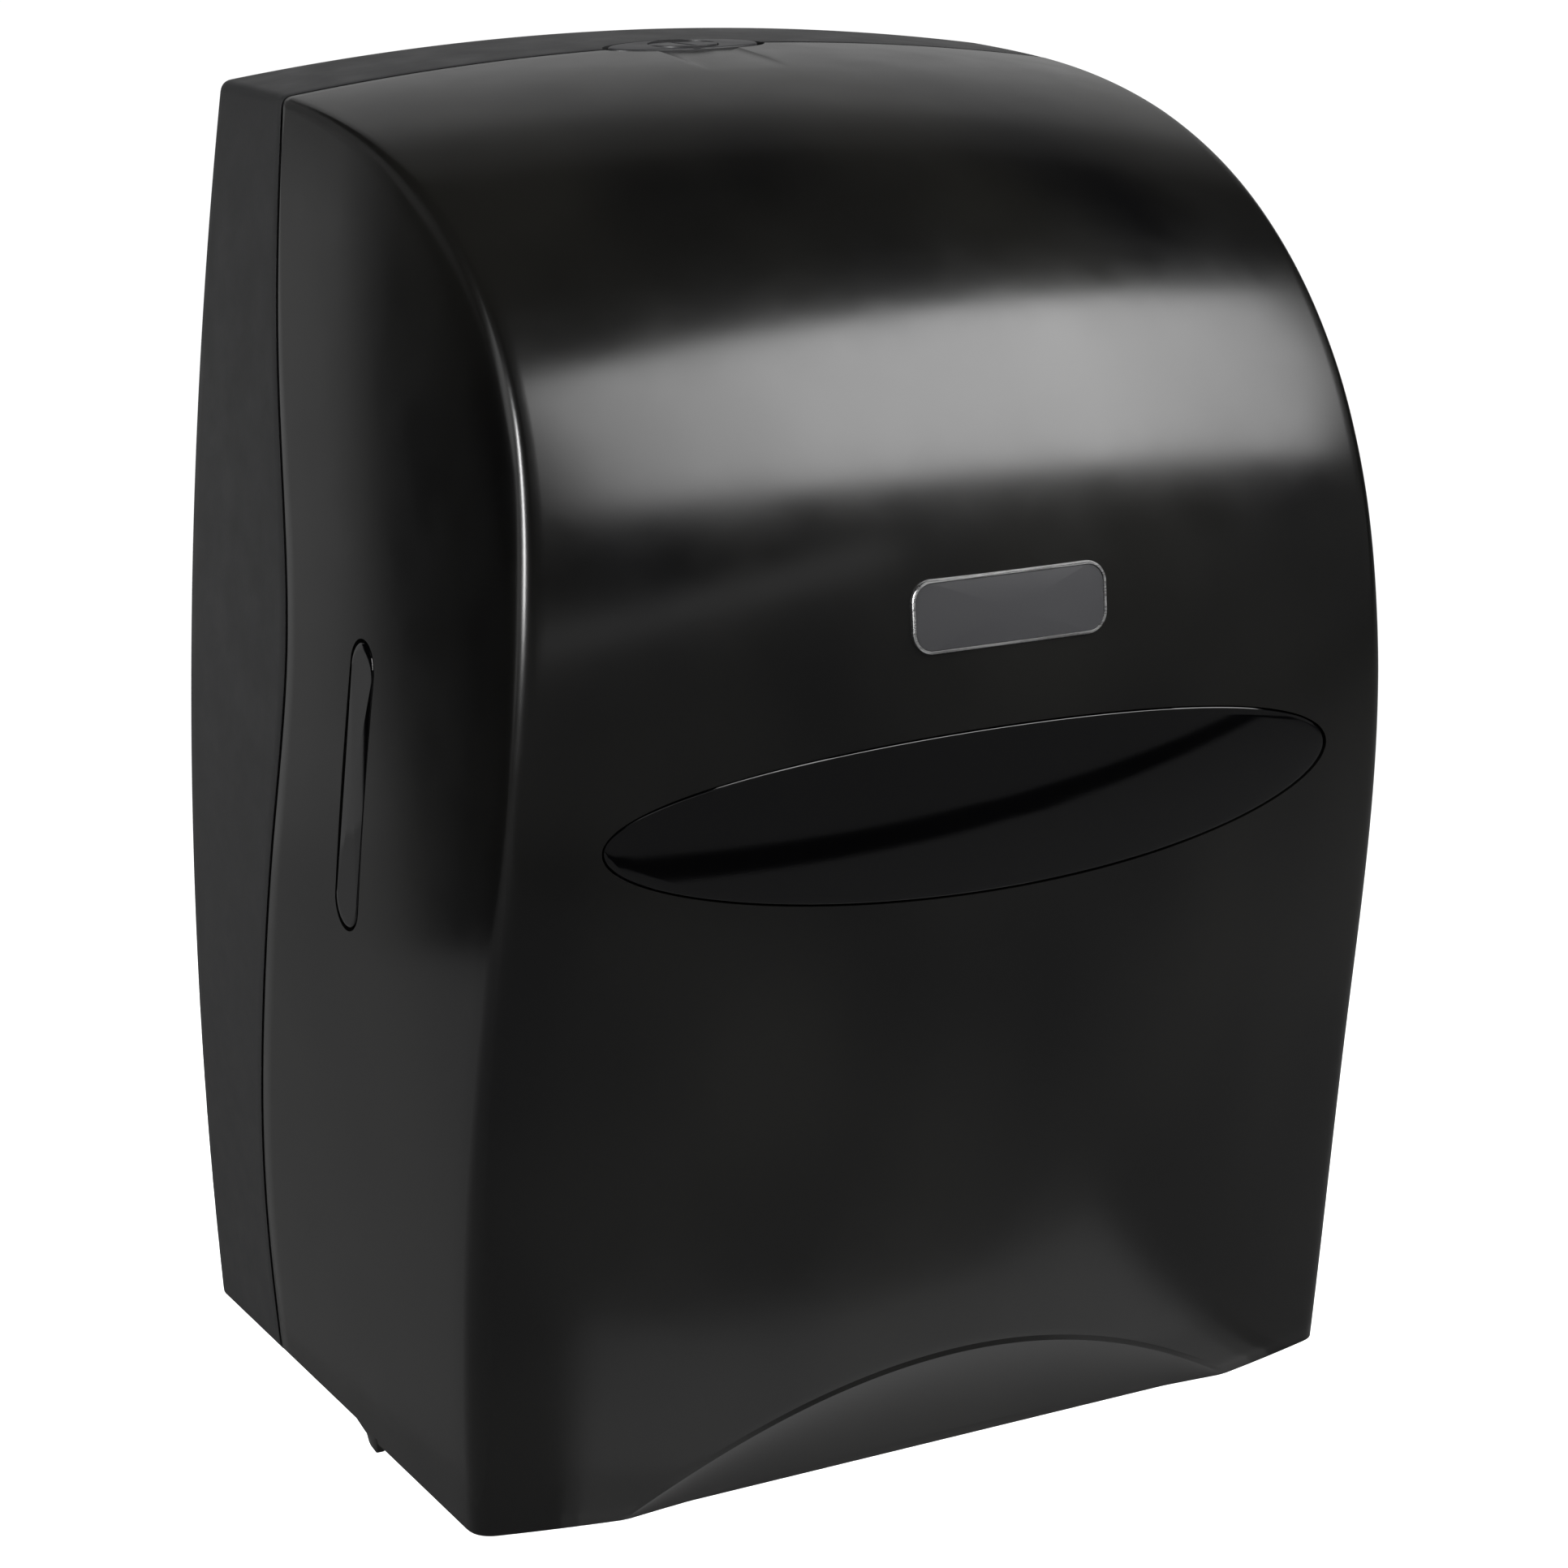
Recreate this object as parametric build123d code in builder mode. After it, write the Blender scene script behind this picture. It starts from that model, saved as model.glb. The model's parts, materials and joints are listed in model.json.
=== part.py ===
"""Wall-mounted roll towel dispenser, in millimetres.

The wall face is at Y = 0, the front looks along -Y, X runs to the right and Z up from mid-height.
"""
import os
from math import atan2, cos, degrees, hypot, radians, sin, sqrt, tan

from build123d import *

# Body shape
body_height = 410
bottom_width = 317.4
middle_width = 313.6
top_width = 267.6
side_taper = 4
arch_rise = 10
front_bow = 20
belly_depth = 235.8
belly_drop = 151
apron_depth = 217
apron_height = 112.6
foot_depth = 202
shoulder_points = ((0, 0), (75, 5), (131, 16), (186, 41.5), (221, 82))
wall = 3
crease_radius = 3

# Seam between housing and cover, as depth and height above the bottom
seam_points = ((51, 0), (49.5, 59), (57, 118), (69, 178), (79, 238), (64, 317), (50, 400))
seam_gap = 1.8

# Fits
running_clearance = 0.06
slide_clearance = 0.25
seat_gap = 0.3

# Windows, badge, scoops and lower edge of the cover
window_width = 230
window_height = 49
window_rise = 211
window_recess = 0.6
strip_width = 17
strip_top = (136.3, 243.8)
strip_foot = (126.8, 172.3)
badge_width = 60
badge_height = 20
badge_rise = 268
badge_thickness = 1.2
badge_corner = 6
scoop_lip_depth = 209
scoop_height = 34
scoop_lean = 13.6
thumb_width = 27
thumb_depth = 1
thumb_length = 35
side_edge_lift = 2

# Wall screws
mount_spacing_x = 250
mount_spacing_z = 300
mount_hole_radius = 3

# Chassis
plate_thickness = 3
plate_front = 165
plate_height = 167
base_thickness = 3
base_front = 150
base_width = 268
boss_radius = 5
boss_height = 9
screw_radius = 1.75
screw_head_radius = 4
screw_head_height = 2.5
flange_width = 18
flange_screw_heights = (35, 145)
rod_radius = 4
rod_places = ((140, 30), (36, 24))
guide_radius = 3
guide_place = (40, 160)

# Cover hinge
hinge_depth = 124
hinge_height = 6.5
hinge_boss_radius = 6
hinge_pin_radius = 2.5
bracket_thickness = 6
boss_spacing = 3

# Paper roll and its holder
roll_width = 203
roll_side_gap = 6.5
roll_depth = 115
roll_height = 270
core_radius = 19
core_plug_length = 15
hub_flange_radius = 26
hub_flange_thickness = 3
arm_thickness = 4
arm_width = 27
stub_radius = 5
arm_pin_radius = 2.5
knuckle_radius = 6
knuckle_gap = 2
ear_thickness = 6
leaf_thickness = 0.8
leaf_width = 12
arm_screw_spread = 26
arm_screw_reach = 20
arm_base_margin = 7
leaf_reach = 60

# Feed drum
drum_radius = 42
drum_wall = 4
drum_length = 200
drum_depth = 120
drum_height = 110
drum_end_thickness = 3
spigot_length = 8
shaft_radius = 6
bush_radius = 9
bush_flange_radius = 12
bush_flange_thickness = 2
band_depth = 1
wheel_radius = 30
wheel_thickness = 14
wheel_grips = 24
index_radius = 22
index_thickness = 5
index_notch = 6
detent_length = 40
end_gap = 2
grip_radius = 2.5

# Knife inside the drum
knife_travel = 8
knife_tip_depth = 2
blade_thickness = 1.2
blade_height = 22
tooth_pitch = 5
tooth_height = 3
blade_gap_margin = 2
slot_margin = 1.25
carrier_thickness = 8
carrier_height = 14
follower_radius = 2.5
follower_orbit = 20
track_margin = 1.5
cam_plate_thickness = 3.6
cam_track_depth = 2.6

# Pinch roller
pinch_radius = 12
pinch_shaft_radius = 4
pinch_angle = 45
pinch_travel = 3
nip_gap = 0.3
tyre_width = 14
tyre_places = (-78, -26, 26, 78)
block_size = 13
block_flange = 3
block_flange_size = 18
block_proud = 6
pinch_leaf_length = 40

# Towel path
finger_width = 10
finger_gap = 1
stripper_size = 8
stripper_place = (160, 55)
chute_thickness = 2.5
chute_apex = (160, 40)
chute_lip = (188, 1.5)
chute_foot = 18

# Lock
lock_width = 53
lock_depth = 26
lock_proud = 1.2
lock_gap = 0.8
lock_head_height = 12
lock_tongue_width = 30
lock_tongue_height = 6
barrel_radius = 7
barrel_proud = 1
barrel_drop = 6
key_slot_width = 2
key_slot_length = 9
key_slot_depth = 4
cam_thickness = 4
cam_length = 20
cam_width = 8
catch_thickness = 3
catch_reach = 14
catch_drop = 8
catch_slack = 1.5
catch_margin = 6

# Places worked out from the sizes above
z_bottom = -body_height / 2
z_top = body_height / 2
crease_top = z_top - arch_rise
draft = tan(radians(side_taper))
skirt = 30
block_depth = belly_depth + front_bow + skirt
far = bottom_width
plate_inner = roll_width / 2 + roll_side_gap
plate_outer = plate_inner + plate_thickness
boss_face = -wall - boss_height
base_low = z_bottom + wall
base_high = base_low + base_thickness
drum_y = -drum_depth
drum_z = z_bottom + drum_height
roll_y = -roll_depth
roll_z = z_bottom + roll_height
hinge_y = -hinge_depth
hinge_z = z_bottom + hinge_height
nip_reach = drum_radius + pinch_radius + nip_gap
pinch_y = drum_y + nip_reach * cos(radians(pinch_angle))
pinch_z = drum_z + nip_reach * sin(radians(pinch_angle))
drum_end_face = drum_length / 2 + drum_end_thickness
shell_bore = drum_radius - drum_wall
seam_top_depth = seam_points[-1][0]


def body_section(x, inset):
    """Points of the top and front outline at distance x from the middle, moved in by inset."""
    crown = 1 - (2 * x / top_width) ** 2
    stretch_y = 1 + (front_bow * crown - inset) / belly_depth
    stretch_z = 1 + (arch_rise * crown - inset) / (body_height - arch_rise)
    outline = [(depth, crease_top - drop) for depth, drop in shoulder_points]
    outline.append((belly_depth, crease_top - belly_drop))
    outline.append((apron_depth, z_bottom + apron_height))
    outline.append((foot_depth, z_bottom))
    return [(-depth * stretch_y, z_bottom + (z - z_bottom) * stretch_z) for depth, z in outline]


def body_block(inset, crease=0):
    """Solid block of the whole body, moved in by inset, with its front side corners rounded by crease."""
    with BuildPart() as bowed:
        for share in (-1, -0.5, 0, 0.5, 1):
            x = share * (bottom_width / 2 + wall)
            points = body_section(x, inset)
            foot_y = points[-1][0]
            with BuildSketch(Plane.YZ.offset(x)):
                with BuildLine():
                    Spline(points)
                    Polyline(points[-1], (foot_y, z_bottom - skirt), (0, z_bottom - skirt), points[0])
                make_face()
        loft()
    with BuildPart() as block:
        for depth in (0, block_depth):
            shrink = inset + depth * draft
            with BuildSketch(Plane.XZ.offset(depth)):
                with BuildLine():
                    side = ThreePointArc(
                        (bottom_width / 2 - shrink, z_bottom),
                        (middle_width / 2 - shrink, (z_bottom + crease_top) / 2),
                        (top_width / 2 - shrink, crease_top),
                    )
                    upper = side @ 1 + (side % 1) * skirt
                    lower = side @ 0 - (side % 0) * skirt
                    Polyline(side @ 1, upper, (0, upper.Y))
                    Polyline(side @ 0, lower, (0, lower.Y))
                    mirror(about=Plane.YZ)
                make_face()
        loft(ruled=True)
        add(bowed.part, mode=Mode.INTERSECT)
        if crease:
            fillet(block.edges().filter_by(GeomType.BSPLINE).sort_by(SortBy.LENGTH)[-2:], crease)
    return block.part


def top_height(y):
    """Height of the body's top on its middle line at y."""
    points = body_section(0, 0)
    upper = [point for point in points if point[0] > -belly_depth]
    for (y_near, z_near), (y_far, z_far) in zip(upper, upper[1:]):
        if y_far <= y <= y_near:
            return z_near + (z_far - z_near) * (y - y_near) / (y_far - y_near)
    return z_top


def rod(radius, start, end, y, z, mode=Mode.ADD):
    """Round bar along X."""
    with Locations(Location((min(start, end), y, z), (0, 90, 0))):
        Cylinder(radius, abs(end - start), align=(Align.CENTER, Align.CENTER, Align.MIN), mode=mode)


def slab(x_span, y_span, z_span, mode=Mode.ADD):
    """Box between two values on each axis."""
    middle = tuple((low + high) / 2 for low, high in (x_span, y_span, z_span))
    with Locations(middle):
        Box(*[abs(high - low) for low, high in (x_span, y_span, z_span)], mode=mode)


def post(radius, x, z, y_span, mode=Mode.ADD):
    """Round post along Y."""
    with Locations(Location((x, max(y_span), z), (90, 0, 0))):
        Cylinder(radius, abs(y_span[1] - y_span[0]), align=(Align.CENTER, Align.CENTER, Align.MIN), mode=mode)


def save(piece, name):
    """Label a finished piece and write it under its name."""
    piece.part.label = name
    export_step(piece.part, f"parts/{name}.step")


def seam_area(shift, front):
    """Solid on one side of the seam, which is moved forward by shift."""
    line = [(-depth - shift, z_bottom + height) for depth, height in seam_points]
    edge_y = -block_depth if front else skirt
    with BuildPart() as area:
        with BuildSketch(Plane.YZ):
            with BuildLine():
                Spline(line)
                low_y, low_z = line[0]
                high_y, high_z = line[-1]
                Polyline(
                    (low_y, low_z),
                    (low_y, low_z - 2 * skirt),
                    (edge_y, low_z - 2 * skirt),
                    (edge_y, high_z + 2 * skirt),
                    (high_y, high_z + 2 * skirt),
                    (high_y, high_z),
                )
            make_face()
        extrude(amount=far, both=True)
    return area.part


def scoop_wedge(inset):
    """Wedge in front of the crescent scoop's slanted face, moved in by inset."""
    lean = scoop_lean / scoop_height
    shift = inset * hypot(1, lean)
    low = z_bottom - skirt
    high = z_bottom + 2 * scoop_height
    with BuildPart() as wedge:
        with BuildSketch(Plane.YZ):
            with BuildLine():
                Polyline(
                    (-scoop_lip_depth + shift + lean * skirt, low),
                    (-block_depth, low),
                    (-block_depth, high),
                    (-scoop_lip_depth + shift - lean * 2 * scoop_height, high),
                    close=True,
                )
            make_face()
        extrude(amount=far, both=True)
    return wedge.part


os.makedirs("parts", exist_ok=True)

outer_block = body_block(0, crease_radius)
inner_block = body_block(wall)
lining_block = body_block(window_recess)
plate_block = body_block(-badge_thickness)
flange_x = plate_inner - flange_width / 2
screw_places = []
for height in flange_screw_heights:
    screw_places += [(sign * flange_x, z_bottom + height) for sign in (-1, 1)]
arm_screw_x = plate_inner + arm_screw_reach
for rise in (-arm_screw_spread / 2, arm_screw_spread / 2):
    screw_places += [(sign * arm_screw_x, roll_z + rise) for sign in (-1, 1)]

# Rear housing: back wall, sides, top and bottom flange behind the seam
with BuildPart() as hollow:
    add(inner_block)
    slab((-far, far), (-block_depth, -wall), (z_bottom + wall, z_top + skirt), mode=Mode.INTERSECT)

with BuildPart() as rear_housing:
    add(outer_block)
    slab((-far, far), (-block_depth, 0), (z_bottom, z_top + skirt), mode=Mode.INTERSECT)
    add(hollow.part, mode=Mode.SUBTRACT)
    add(seam_area(0, False), mode=Mode.INTERSECT)
    for x, z in screw_places:
        post(boss_radius, x, z, (-wall, boss_face))
        post(screw_radius + running_clearance, x, z, (-wall, boss_face), mode=Mode.SUBTRACT)
    with Locations(Plane.XZ):
        with GridLocations(mount_spacing_x, mount_spacing_z, 2, 2):
            Cylinder(mount_hole_radius, 2 * wall, mode=Mode.SUBTRACT)
    with BuildSketch(Plane.XY.offset(z_top - lock_head_height)):
        with Locations((0, -seam_top_depth)):
            Ellipse(lock_width / 2 + seat_gap, lock_depth / 2 + seat_gap)
    extrude(amount=2 * lock_head_height, mode=Mode.SUBTRACT)
save(rear_housing, "rear_housing")

# Front cover: bowed front, sides and top ahead of the seam, open at the back and underneath
with BuildPart() as cover_hollow:
    add(inner_block)
    add(scoop_wedge(wall), mode=Mode.SUBTRACT)

with BuildPart() as thumb_scoop:
    thumb_radius = (thumb_width ** 2 / 4 + thumb_depth ** 2) / (2 * thumb_depth)
    thumb_back = -seam_top_depth - lock_depth / 2
    thumb_front = thumb_back - thumb_length
    back_z = top_height(thumb_back) - thumb_depth + thumb_radius
    front_z = top_height(thumb_front) - thumb_depth + thumb_radius
    scoop_axis = Plane(origin=(0, thumb_back, back_z), z_dir=(0, -thumb_length, front_z - back_z))
    with BuildSketch(scoop_axis):
        Circle(thumb_radius)
    extrude(amount=hypot(thumb_length, front_z - back_z))

window_z = z_bottom + window_rise
strip_y = -(strip_top[0] + strip_foot[0]) / 2
strip_z = z_bottom + (strip_top[1] + strip_foot[1]) / 2
strip_run_y = strip_foot[0] - strip_top[0]
strip_run_z = strip_top[1] - strip_foot[1]
strip_length = hypot(strip_run_y, strip_run_z) + strip_width
strip_turn = degrees(atan2(strip_run_z, strip_run_y))


def window_area(gap):
    """Upright oval block that cuts the sight window, narrower by gap all round."""
    with BuildPart() as area:
        with BuildSketch(Plane.XZ.offset(foot_depth - wall)):
            with Locations((0, window_z)):
                Ellipse(window_width / 2 - gap, window_height / 2 - gap)
        extrude(amount=block_depth)
    return area.part


def strip_area(gap):
    """Block through both sides that cuts the sight strips, narrower by gap all round."""
    with BuildPart() as area:
        with BuildSketch(Plane.YZ):
            with Locations(Location((strip_y, strip_z), strip_turn)):
                SlotOverall(strip_length - 2 * gap, strip_width - 2 * gap)
        extrude(amount=far, both=True)
    return area.part


with BuildPart() as front_cover:
    add(outer_block)
    slab((-far, far), (-block_depth, 0), (z_bottom, z_top + skirt), mode=Mode.INTERSECT)
    add(scoop_wedge(0), mode=Mode.SUBTRACT)
    add(cover_hollow.part, mode=Mode.SUBTRACT)
    add(seam_area(seam_gap, True), mode=Mode.INTERSECT)
    slab(
        (-far, far), (hinge_y + hinge_boss_radius, 0), (z_bottom, z_bottom + side_edge_lift),
        mode=Mode.SUBTRACT,
    )
    add(window_area(0), mode=Mode.SUBTRACT)
    add(strip_area(0), mode=Mode.SUBTRACT)
    add(thumb_scoop.part, mode=Mode.SUBTRACT)
    with BuildSketch(Plane.XY.offset(z_top - lock_head_height)):
        with Locations((0, -seam_top_depth)):
            Ellipse(lock_width / 2 + lock_gap, lock_depth / 2 + lock_gap)
    extrude(amount=2 * lock_head_height, mode=Mode.SUBTRACT)
    boss_inner = base_width / 2 + boss_spacing
    boss_outer = bottom_width / 2 - hinge_depth * draft - wall / 2
    for sign in (-1, 1):
        rod(hinge_boss_radius, sign * boss_inner, sign * boss_outer, hinge_y, hinge_z)
        rod(
            hinge_pin_radius + running_clearance, sign * boss_inner, sign * (boss_outer - wall),
            hinge_y, hinge_z, mode=Mode.SUBTRACT,
        )
save(front_cover, "front_cover")

# Sight window, sight strips and badge plate, which follow the body's surface
with BuildPart() as sight_window:
    add(lining_block)
    add(inner_block, mode=Mode.SUBTRACT)
    add(window_area(seat_gap), mode=Mode.INTERSECT)
save(sight_window, "sight_window")

for side, sign in (("left", -1), ("right", 1)):
    with BuildPart() as sight_strip:
        add(lining_block)
        add(inner_block, mode=Mode.SUBTRACT)
        add(strip_area(seat_gap), mode=Mode.INTERSECT)
        slab((0, sign * far), (-block_depth, 0), (z_bottom, z_top), mode=Mode.INTERSECT)
    save(sight_strip, f"{side}_sight_strip")

with BuildPart() as badge_plate:
    with BuildSketch(Plane.XZ.offset(foot_depth)):
        with Locations((0, z_bottom + badge_rise)):
            RectangleRounded(badge_width, badge_height, badge_corner)
    extrude(amount=block_depth)
    add(plate_block, mode=Mode.INTERSECT)
    add(outer_block, mode=Mode.SUBTRACT)
save(badge_plate, "badge_plate")

# Lock on the top seam: oval head on a tongue from the back wall, barrel, cam and the cover's catch
lock_y = -seam_top_depth
head_top = top_height(lock_y) + lock_proud
head_low = head_top - lock_head_height
tongue_low = head_low - lock_tongue_height
cam_high = tongue_low - barrel_drop + cam_thickness
cam_low = cam_high - cam_thickness

with BuildPart() as lock_escutcheon:
    with BuildSketch(Plane.XY.offset(head_low)):
        with Locations((0, lock_y)):
            Ellipse(lock_width / 2, lock_depth / 2)
    extrude(amount=lock_head_height)
    fillet(lock_escutcheon.edges().group_by(Axis.Z)[-1], lock_proud / 2)
    slab((-lock_tongue_width / 2, lock_tongue_width / 2), (lock_y, -wall), (tongue_low, head_low))
    with Locations((0, lock_y, tongue_low)):
        Cylinder(barrel_radius + wall, lock_tongue_height, align=(Align.CENTER, Align.CENTER, Align.MIN))
        Cylinder(barrel_radius + running_clearance, 4 * lock_head_height, mode=Mode.SUBTRACT)
save(lock_escutcheon, "lock_escutcheon")

with BuildPart() as lock_barrel:
    with Locations((0, lock_y, cam_high)):
        Cylinder(
            barrel_radius, head_top + barrel_proud - cam_high, align=(Align.CENTER, Align.CENTER, Align.MIN),
        )
    with Locations((0, lock_y, head_top + barrel_proud)):
        Box(key_slot_length, key_slot_width, 2 * key_slot_depth, mode=Mode.SUBTRACT)
save(lock_barrel, "lock_barrel")

with BuildPart() as lock_cam:
    with BuildSketch(Plane.XY.offset(cam_low)):
        with Locations((0, lock_y)):
            Circle(barrel_radius)
        with Locations(((cam_length - cam_width / 2) / 2, lock_y)):
            SlotOverall(cam_length + cam_width / 2, cam_width)
    extrude(amount=cam_thickness)
save(lock_cam, "lock_cam")

# The cam sweeps from +X to the front, so the catch's window is wider on that side
catch_y = lock_y - catch_reach
sweep_x = sqrt(cam_length ** 2 - catch_reach ** 2) + cam_width / 2
window_x = (-cam_width, sweep_x)
with BuildPart() as cover_catch:
    slab(
        (window_x[0] - catch_margin, window_x[1] + catch_margin), (catch_y - catch_thickness, catch_y),
        (cam_low - catch_drop, z_top),
    )
    slab(window_x, (catch_y - catch_thickness, catch_y), (cam_low - catch_slack, cam_high + catch_slack),
         mode=Mode.SUBTRACT)
    add(inner_block, mode=Mode.INTERSECT)
save(cover_catch, "cover_catch")

# Chassis base with the cover's hinge brackets
bracket_x = base_width / 2 - bracket_thickness
bracket_reach = hinge_boss_radius + wall
pin_start = bracket_x - bracket_thickness
with BuildPart() as chassis_base:
    slab((-base_width / 2, base_width / 2), (-base_front, -wall), (base_low, base_high))
    for sign in (-1, 1):
        slab(
            (sign * bracket_x, sign * base_width / 2), (hinge_y - bracket_reach, hinge_y + bracket_reach),
            (base_low, hinge_z + bracket_reach),
        )
        rod(
            hinge_pin_radius + running_clearance, sign * pin_start, sign * base_width / 2,
            hinge_y, hinge_z, mode=Mode.SUBTRACT,
        )
save(chassis_base, "chassis_base")

for side, sign in (("left", -1), ("right", 1)):
    with BuildPart() as hinge_pin:
        rod(hinge_pin_radius, sign * pin_start, sign * (boss_outer - wall - end_gap), hinge_y, hinge_z)
    save(hinge_pin, f"hinge_pin_{side}")

# Side plates with inward screw flanges, a bush hole and a slanted slot for the pinch block
plate_top = base_high + plate_height
lift_y = cos(radians(pinch_angle))
lift_z = sin(radians(pinch_angle))
for side, sign in (("left", -1), ("right", 1)):
    with BuildPart() as side_plate:
        with BuildSketch(Plane.YZ.offset(sign * plate_inner)):
            with BuildLine():
                Polyline(
                    (boss_face, base_high),
                    (-plate_front, base_high),
                    (-plate_front, drum_z + drum_radius / 2),
                    (drum_y, plate_top),
                    (boss_face, plate_top),
                    close=True,
                )
            make_face()
            with Locations((drum_y, drum_z)):
                Circle(bush_radius + running_clearance, mode=Mode.SUBTRACT)
            slot_shift = pinch_travel / 2
            slot_place = (pinch_y + slot_shift * lift_y, pinch_z + slot_shift * lift_z)
            with Locations(Location(slot_place, pinch_angle)):
                Rectangle(
                    block_size + pinch_travel + 2 * slide_clearance, block_size + 2 * slide_clearance,
                    mode=Mode.SUBTRACT,
                )
        extrude(amount=sign * plate_thickness)
        slab(
            (sign * (plate_inner - flange_width), sign * plate_inner),
            (boss_face - plate_thickness, boss_face),
            (base_high, plate_top),
        )
        for height in flange_screw_heights:
            post(
                screw_radius + slide_clearance, sign * flange_x, z_bottom + height,
                (boss_face - plate_thickness, boss_face), mode=Mode.SUBTRACT,
            )
    save(side_plate, f"chassis_{side}_plate")

with BuildPart() as tie_rods:
    for depth, height in rod_places:
        rod(rod_radius, -plate_inner, plate_inner, -depth, z_bottom + height)
save(tie_rods, "tie_rods")

with BuildPart() as paper_guide_bar:
    rod(guide_radius, -plate_inner, plate_inner, -guide_place[0], z_bottom + guide_place[1])
save(paper_guide_bar, "paper_guide_bar")

head_face = boss_face - plate_thickness
with BuildPart() as chassis_screws:
    for x, z in screw_places:
        post(screw_radius, x, z, (-wall - running_clearance, head_face))
        post(screw_head_radius, x, z, (head_face, head_face - screw_head_height))
    fillet(chassis_screws.edges().group_by(Axis.Y)[0], screw_head_height / 2)
save(chassis_screws, "chassis_screws")

# Roll holder: fixed left arm, right arm hinged on an upright pin, a core hub on each
arm_base_half = arm_screw_spread / 2 + arm_base_margin
arm_base_outer = arm_screw_x + arm_base_margin
stub_end = plate_inner - hub_flange_thickness - core_plug_length - 2 * end_gap


def arm_base(sign):
    """Screw base of one roll arm, standing on the housing's bosses."""
    slab(
        (sign * plate_inner, sign * arm_base_outer), (head_face, boss_face),
        (roll_z - arm_base_half, roll_z + arm_base_half),
    )
    for rise in (-arm_screw_spread / 2, arm_screw_spread / 2):
        post(
            screw_radius + slide_clearance, sign * arm_screw_x, roll_z + rise, (head_face, boss_face),
            mode=Mode.SUBTRACT,
        )


def arm_bar(sign, back_y):
    """Arm plate from back_y forward to its round end, with the stub that carries the hub."""
    slab((sign * plate_inner, sign * (plate_inner + arm_thickness)), (roll_y, back_y),
         (roll_z - arm_width / 2, roll_z + arm_width / 2))
    rod(arm_width / 2, sign * plate_inner, sign * (plate_inner + arm_thickness), roll_y, roll_z)
    rod(stub_radius, sign * plate_inner, sign * stub_end, roll_y, roll_z)


with BuildPart() as left_roll_arm:
    arm_base(-1)
    arm_bar(-1, boss_face)
save(left_roll_arm, "left_roll_arm")

knuckle_x = plate_inner + knuckle_radius
knuckle_y = head_face - knuckle_gap - knuckle_radius
ear_inner = arm_width / 2 + seat_gap
ear_outer = ear_inner + ear_thickness
with BuildPart() as right_arm_bracket:
    arm_base(1)
    for sign in (-1, 1):
        slab(
            (plate_inner, knuckle_x + knuckle_radius), (knuckle_y - knuckle_radius, head_face),
            (roll_z + sign * ear_inner, roll_z + sign * ear_outer),
        )
    with Locations((knuckle_x, knuckle_y, roll_z)):
        Cylinder(arm_pin_radius + running_clearance, 2 * ear_outer, mode=Mode.SUBTRACT)
save(right_arm_bracket, "right_arm_bracket")

with BuildPart() as right_arm_pin:
    with Locations((knuckle_x, knuckle_y, roll_z)):
        Cylinder(arm_pin_radius, 2 * (ear_outer + end_gap))
save(right_arm_pin, "right_arm_pin")

with BuildPart() as right_roll_arm:
    arm_bar(1, knuckle_y)
    with Locations((knuckle_x, knuckle_y, roll_z)):
        Cylinder(knuckle_radius, arm_width)
        Cylinder(arm_pin_radius + running_clearance, 2 * arm_width, mode=Mode.SUBTRACT)
save(right_roll_arm, "right_roll_arm")

leaf_x = knuckle_x + knuckle_radius + end_gap
leaf_tip_x = plate_inner + arm_thickness + seat_gap + leaf_thickness / 2
with BuildPart() as arm_leaf_spring:
    with BuildSketch(Plane.XY.offset(roll_z - leaf_width / 2)):
        with BuildLine():
            Polyline(
                (leaf_x, head_face),
                (leaf_x, knuckle_y - knuckle_radius),
                (leaf_tip_x, knuckle_y - leaf_reach),
            )
        trace(line_width=leaf_thickness)
    extrude(amount=leaf_width)
    slab((0, far), (-block_depth, head_face), (z_bottom, z_top), mode=Mode.INTERSECT)
save(arm_leaf_spring, "arm_leaf_spring")

for side, sign in (("left", -1), ("right", 1)):
    flange_outer = plate_inner - end_gap
    flange_inner = flange_outer - hub_flange_thickness
    with BuildPart() as core_hub:
        rod(hub_flange_radius, sign * flange_outer, sign * flange_inner, roll_y, roll_z)
        rod(core_radius, sign * flange_inner, sign * (flange_inner - core_plug_length), roll_y, roll_z)
        chamfer(core_hub.edges().sort_by(Axis.X)[0 if sign > 0 else -1], hub_flange_thickness)
        rod(
            stub_radius + running_clearance, sign * flange_outer, sign * (flange_inner - core_plug_length),
            roll_y, roll_z, mode=Mode.SUBTRACT,
        )
    save(core_hub, f"{side}_core_hub")

# Feed drum: slotted shell with grip bands, two ends, shaft, hand wheel and index cam
knife_half = drum_length / 2 - spigot_length - end_gap
blade_low = drum_z + carrier_thickness / 2
slot_z = (blade_low - slot_margin, blade_low + blade_thickness + slot_margin)
slot_y = (drum_y - drum_radius - band_depth, drum_y - shell_bore + band_depth)
wheel_inner = plate_outer + end_gap + band_depth
wheel_outer = wheel_inner + wheel_thickness
index_inner = plate_outer + end_gap
index_outer = index_inner + index_thickness

with BuildPart() as drum_shell:
    rod(drum_radius, -drum_length / 2, drum_length / 2, drum_y, drum_z)
    for x in tyre_places:
        span = (x - tyre_width / 2, x + tyre_width / 2)
        rod(drum_radius + band_depth, *span, drum_y, drum_z, mode=Mode.SUBTRACT)
        rod(drum_radius - band_depth, *span, drum_y, drum_z)
    rod(shell_bore, -drum_length / 2, drum_length / 2, drum_y, drum_z, mode=Mode.SUBTRACT)
    slab((-knife_half, knife_half), slot_y, slot_z, mode=Mode.SUBTRACT)
save(drum_shell, "drum_shell")

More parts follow.
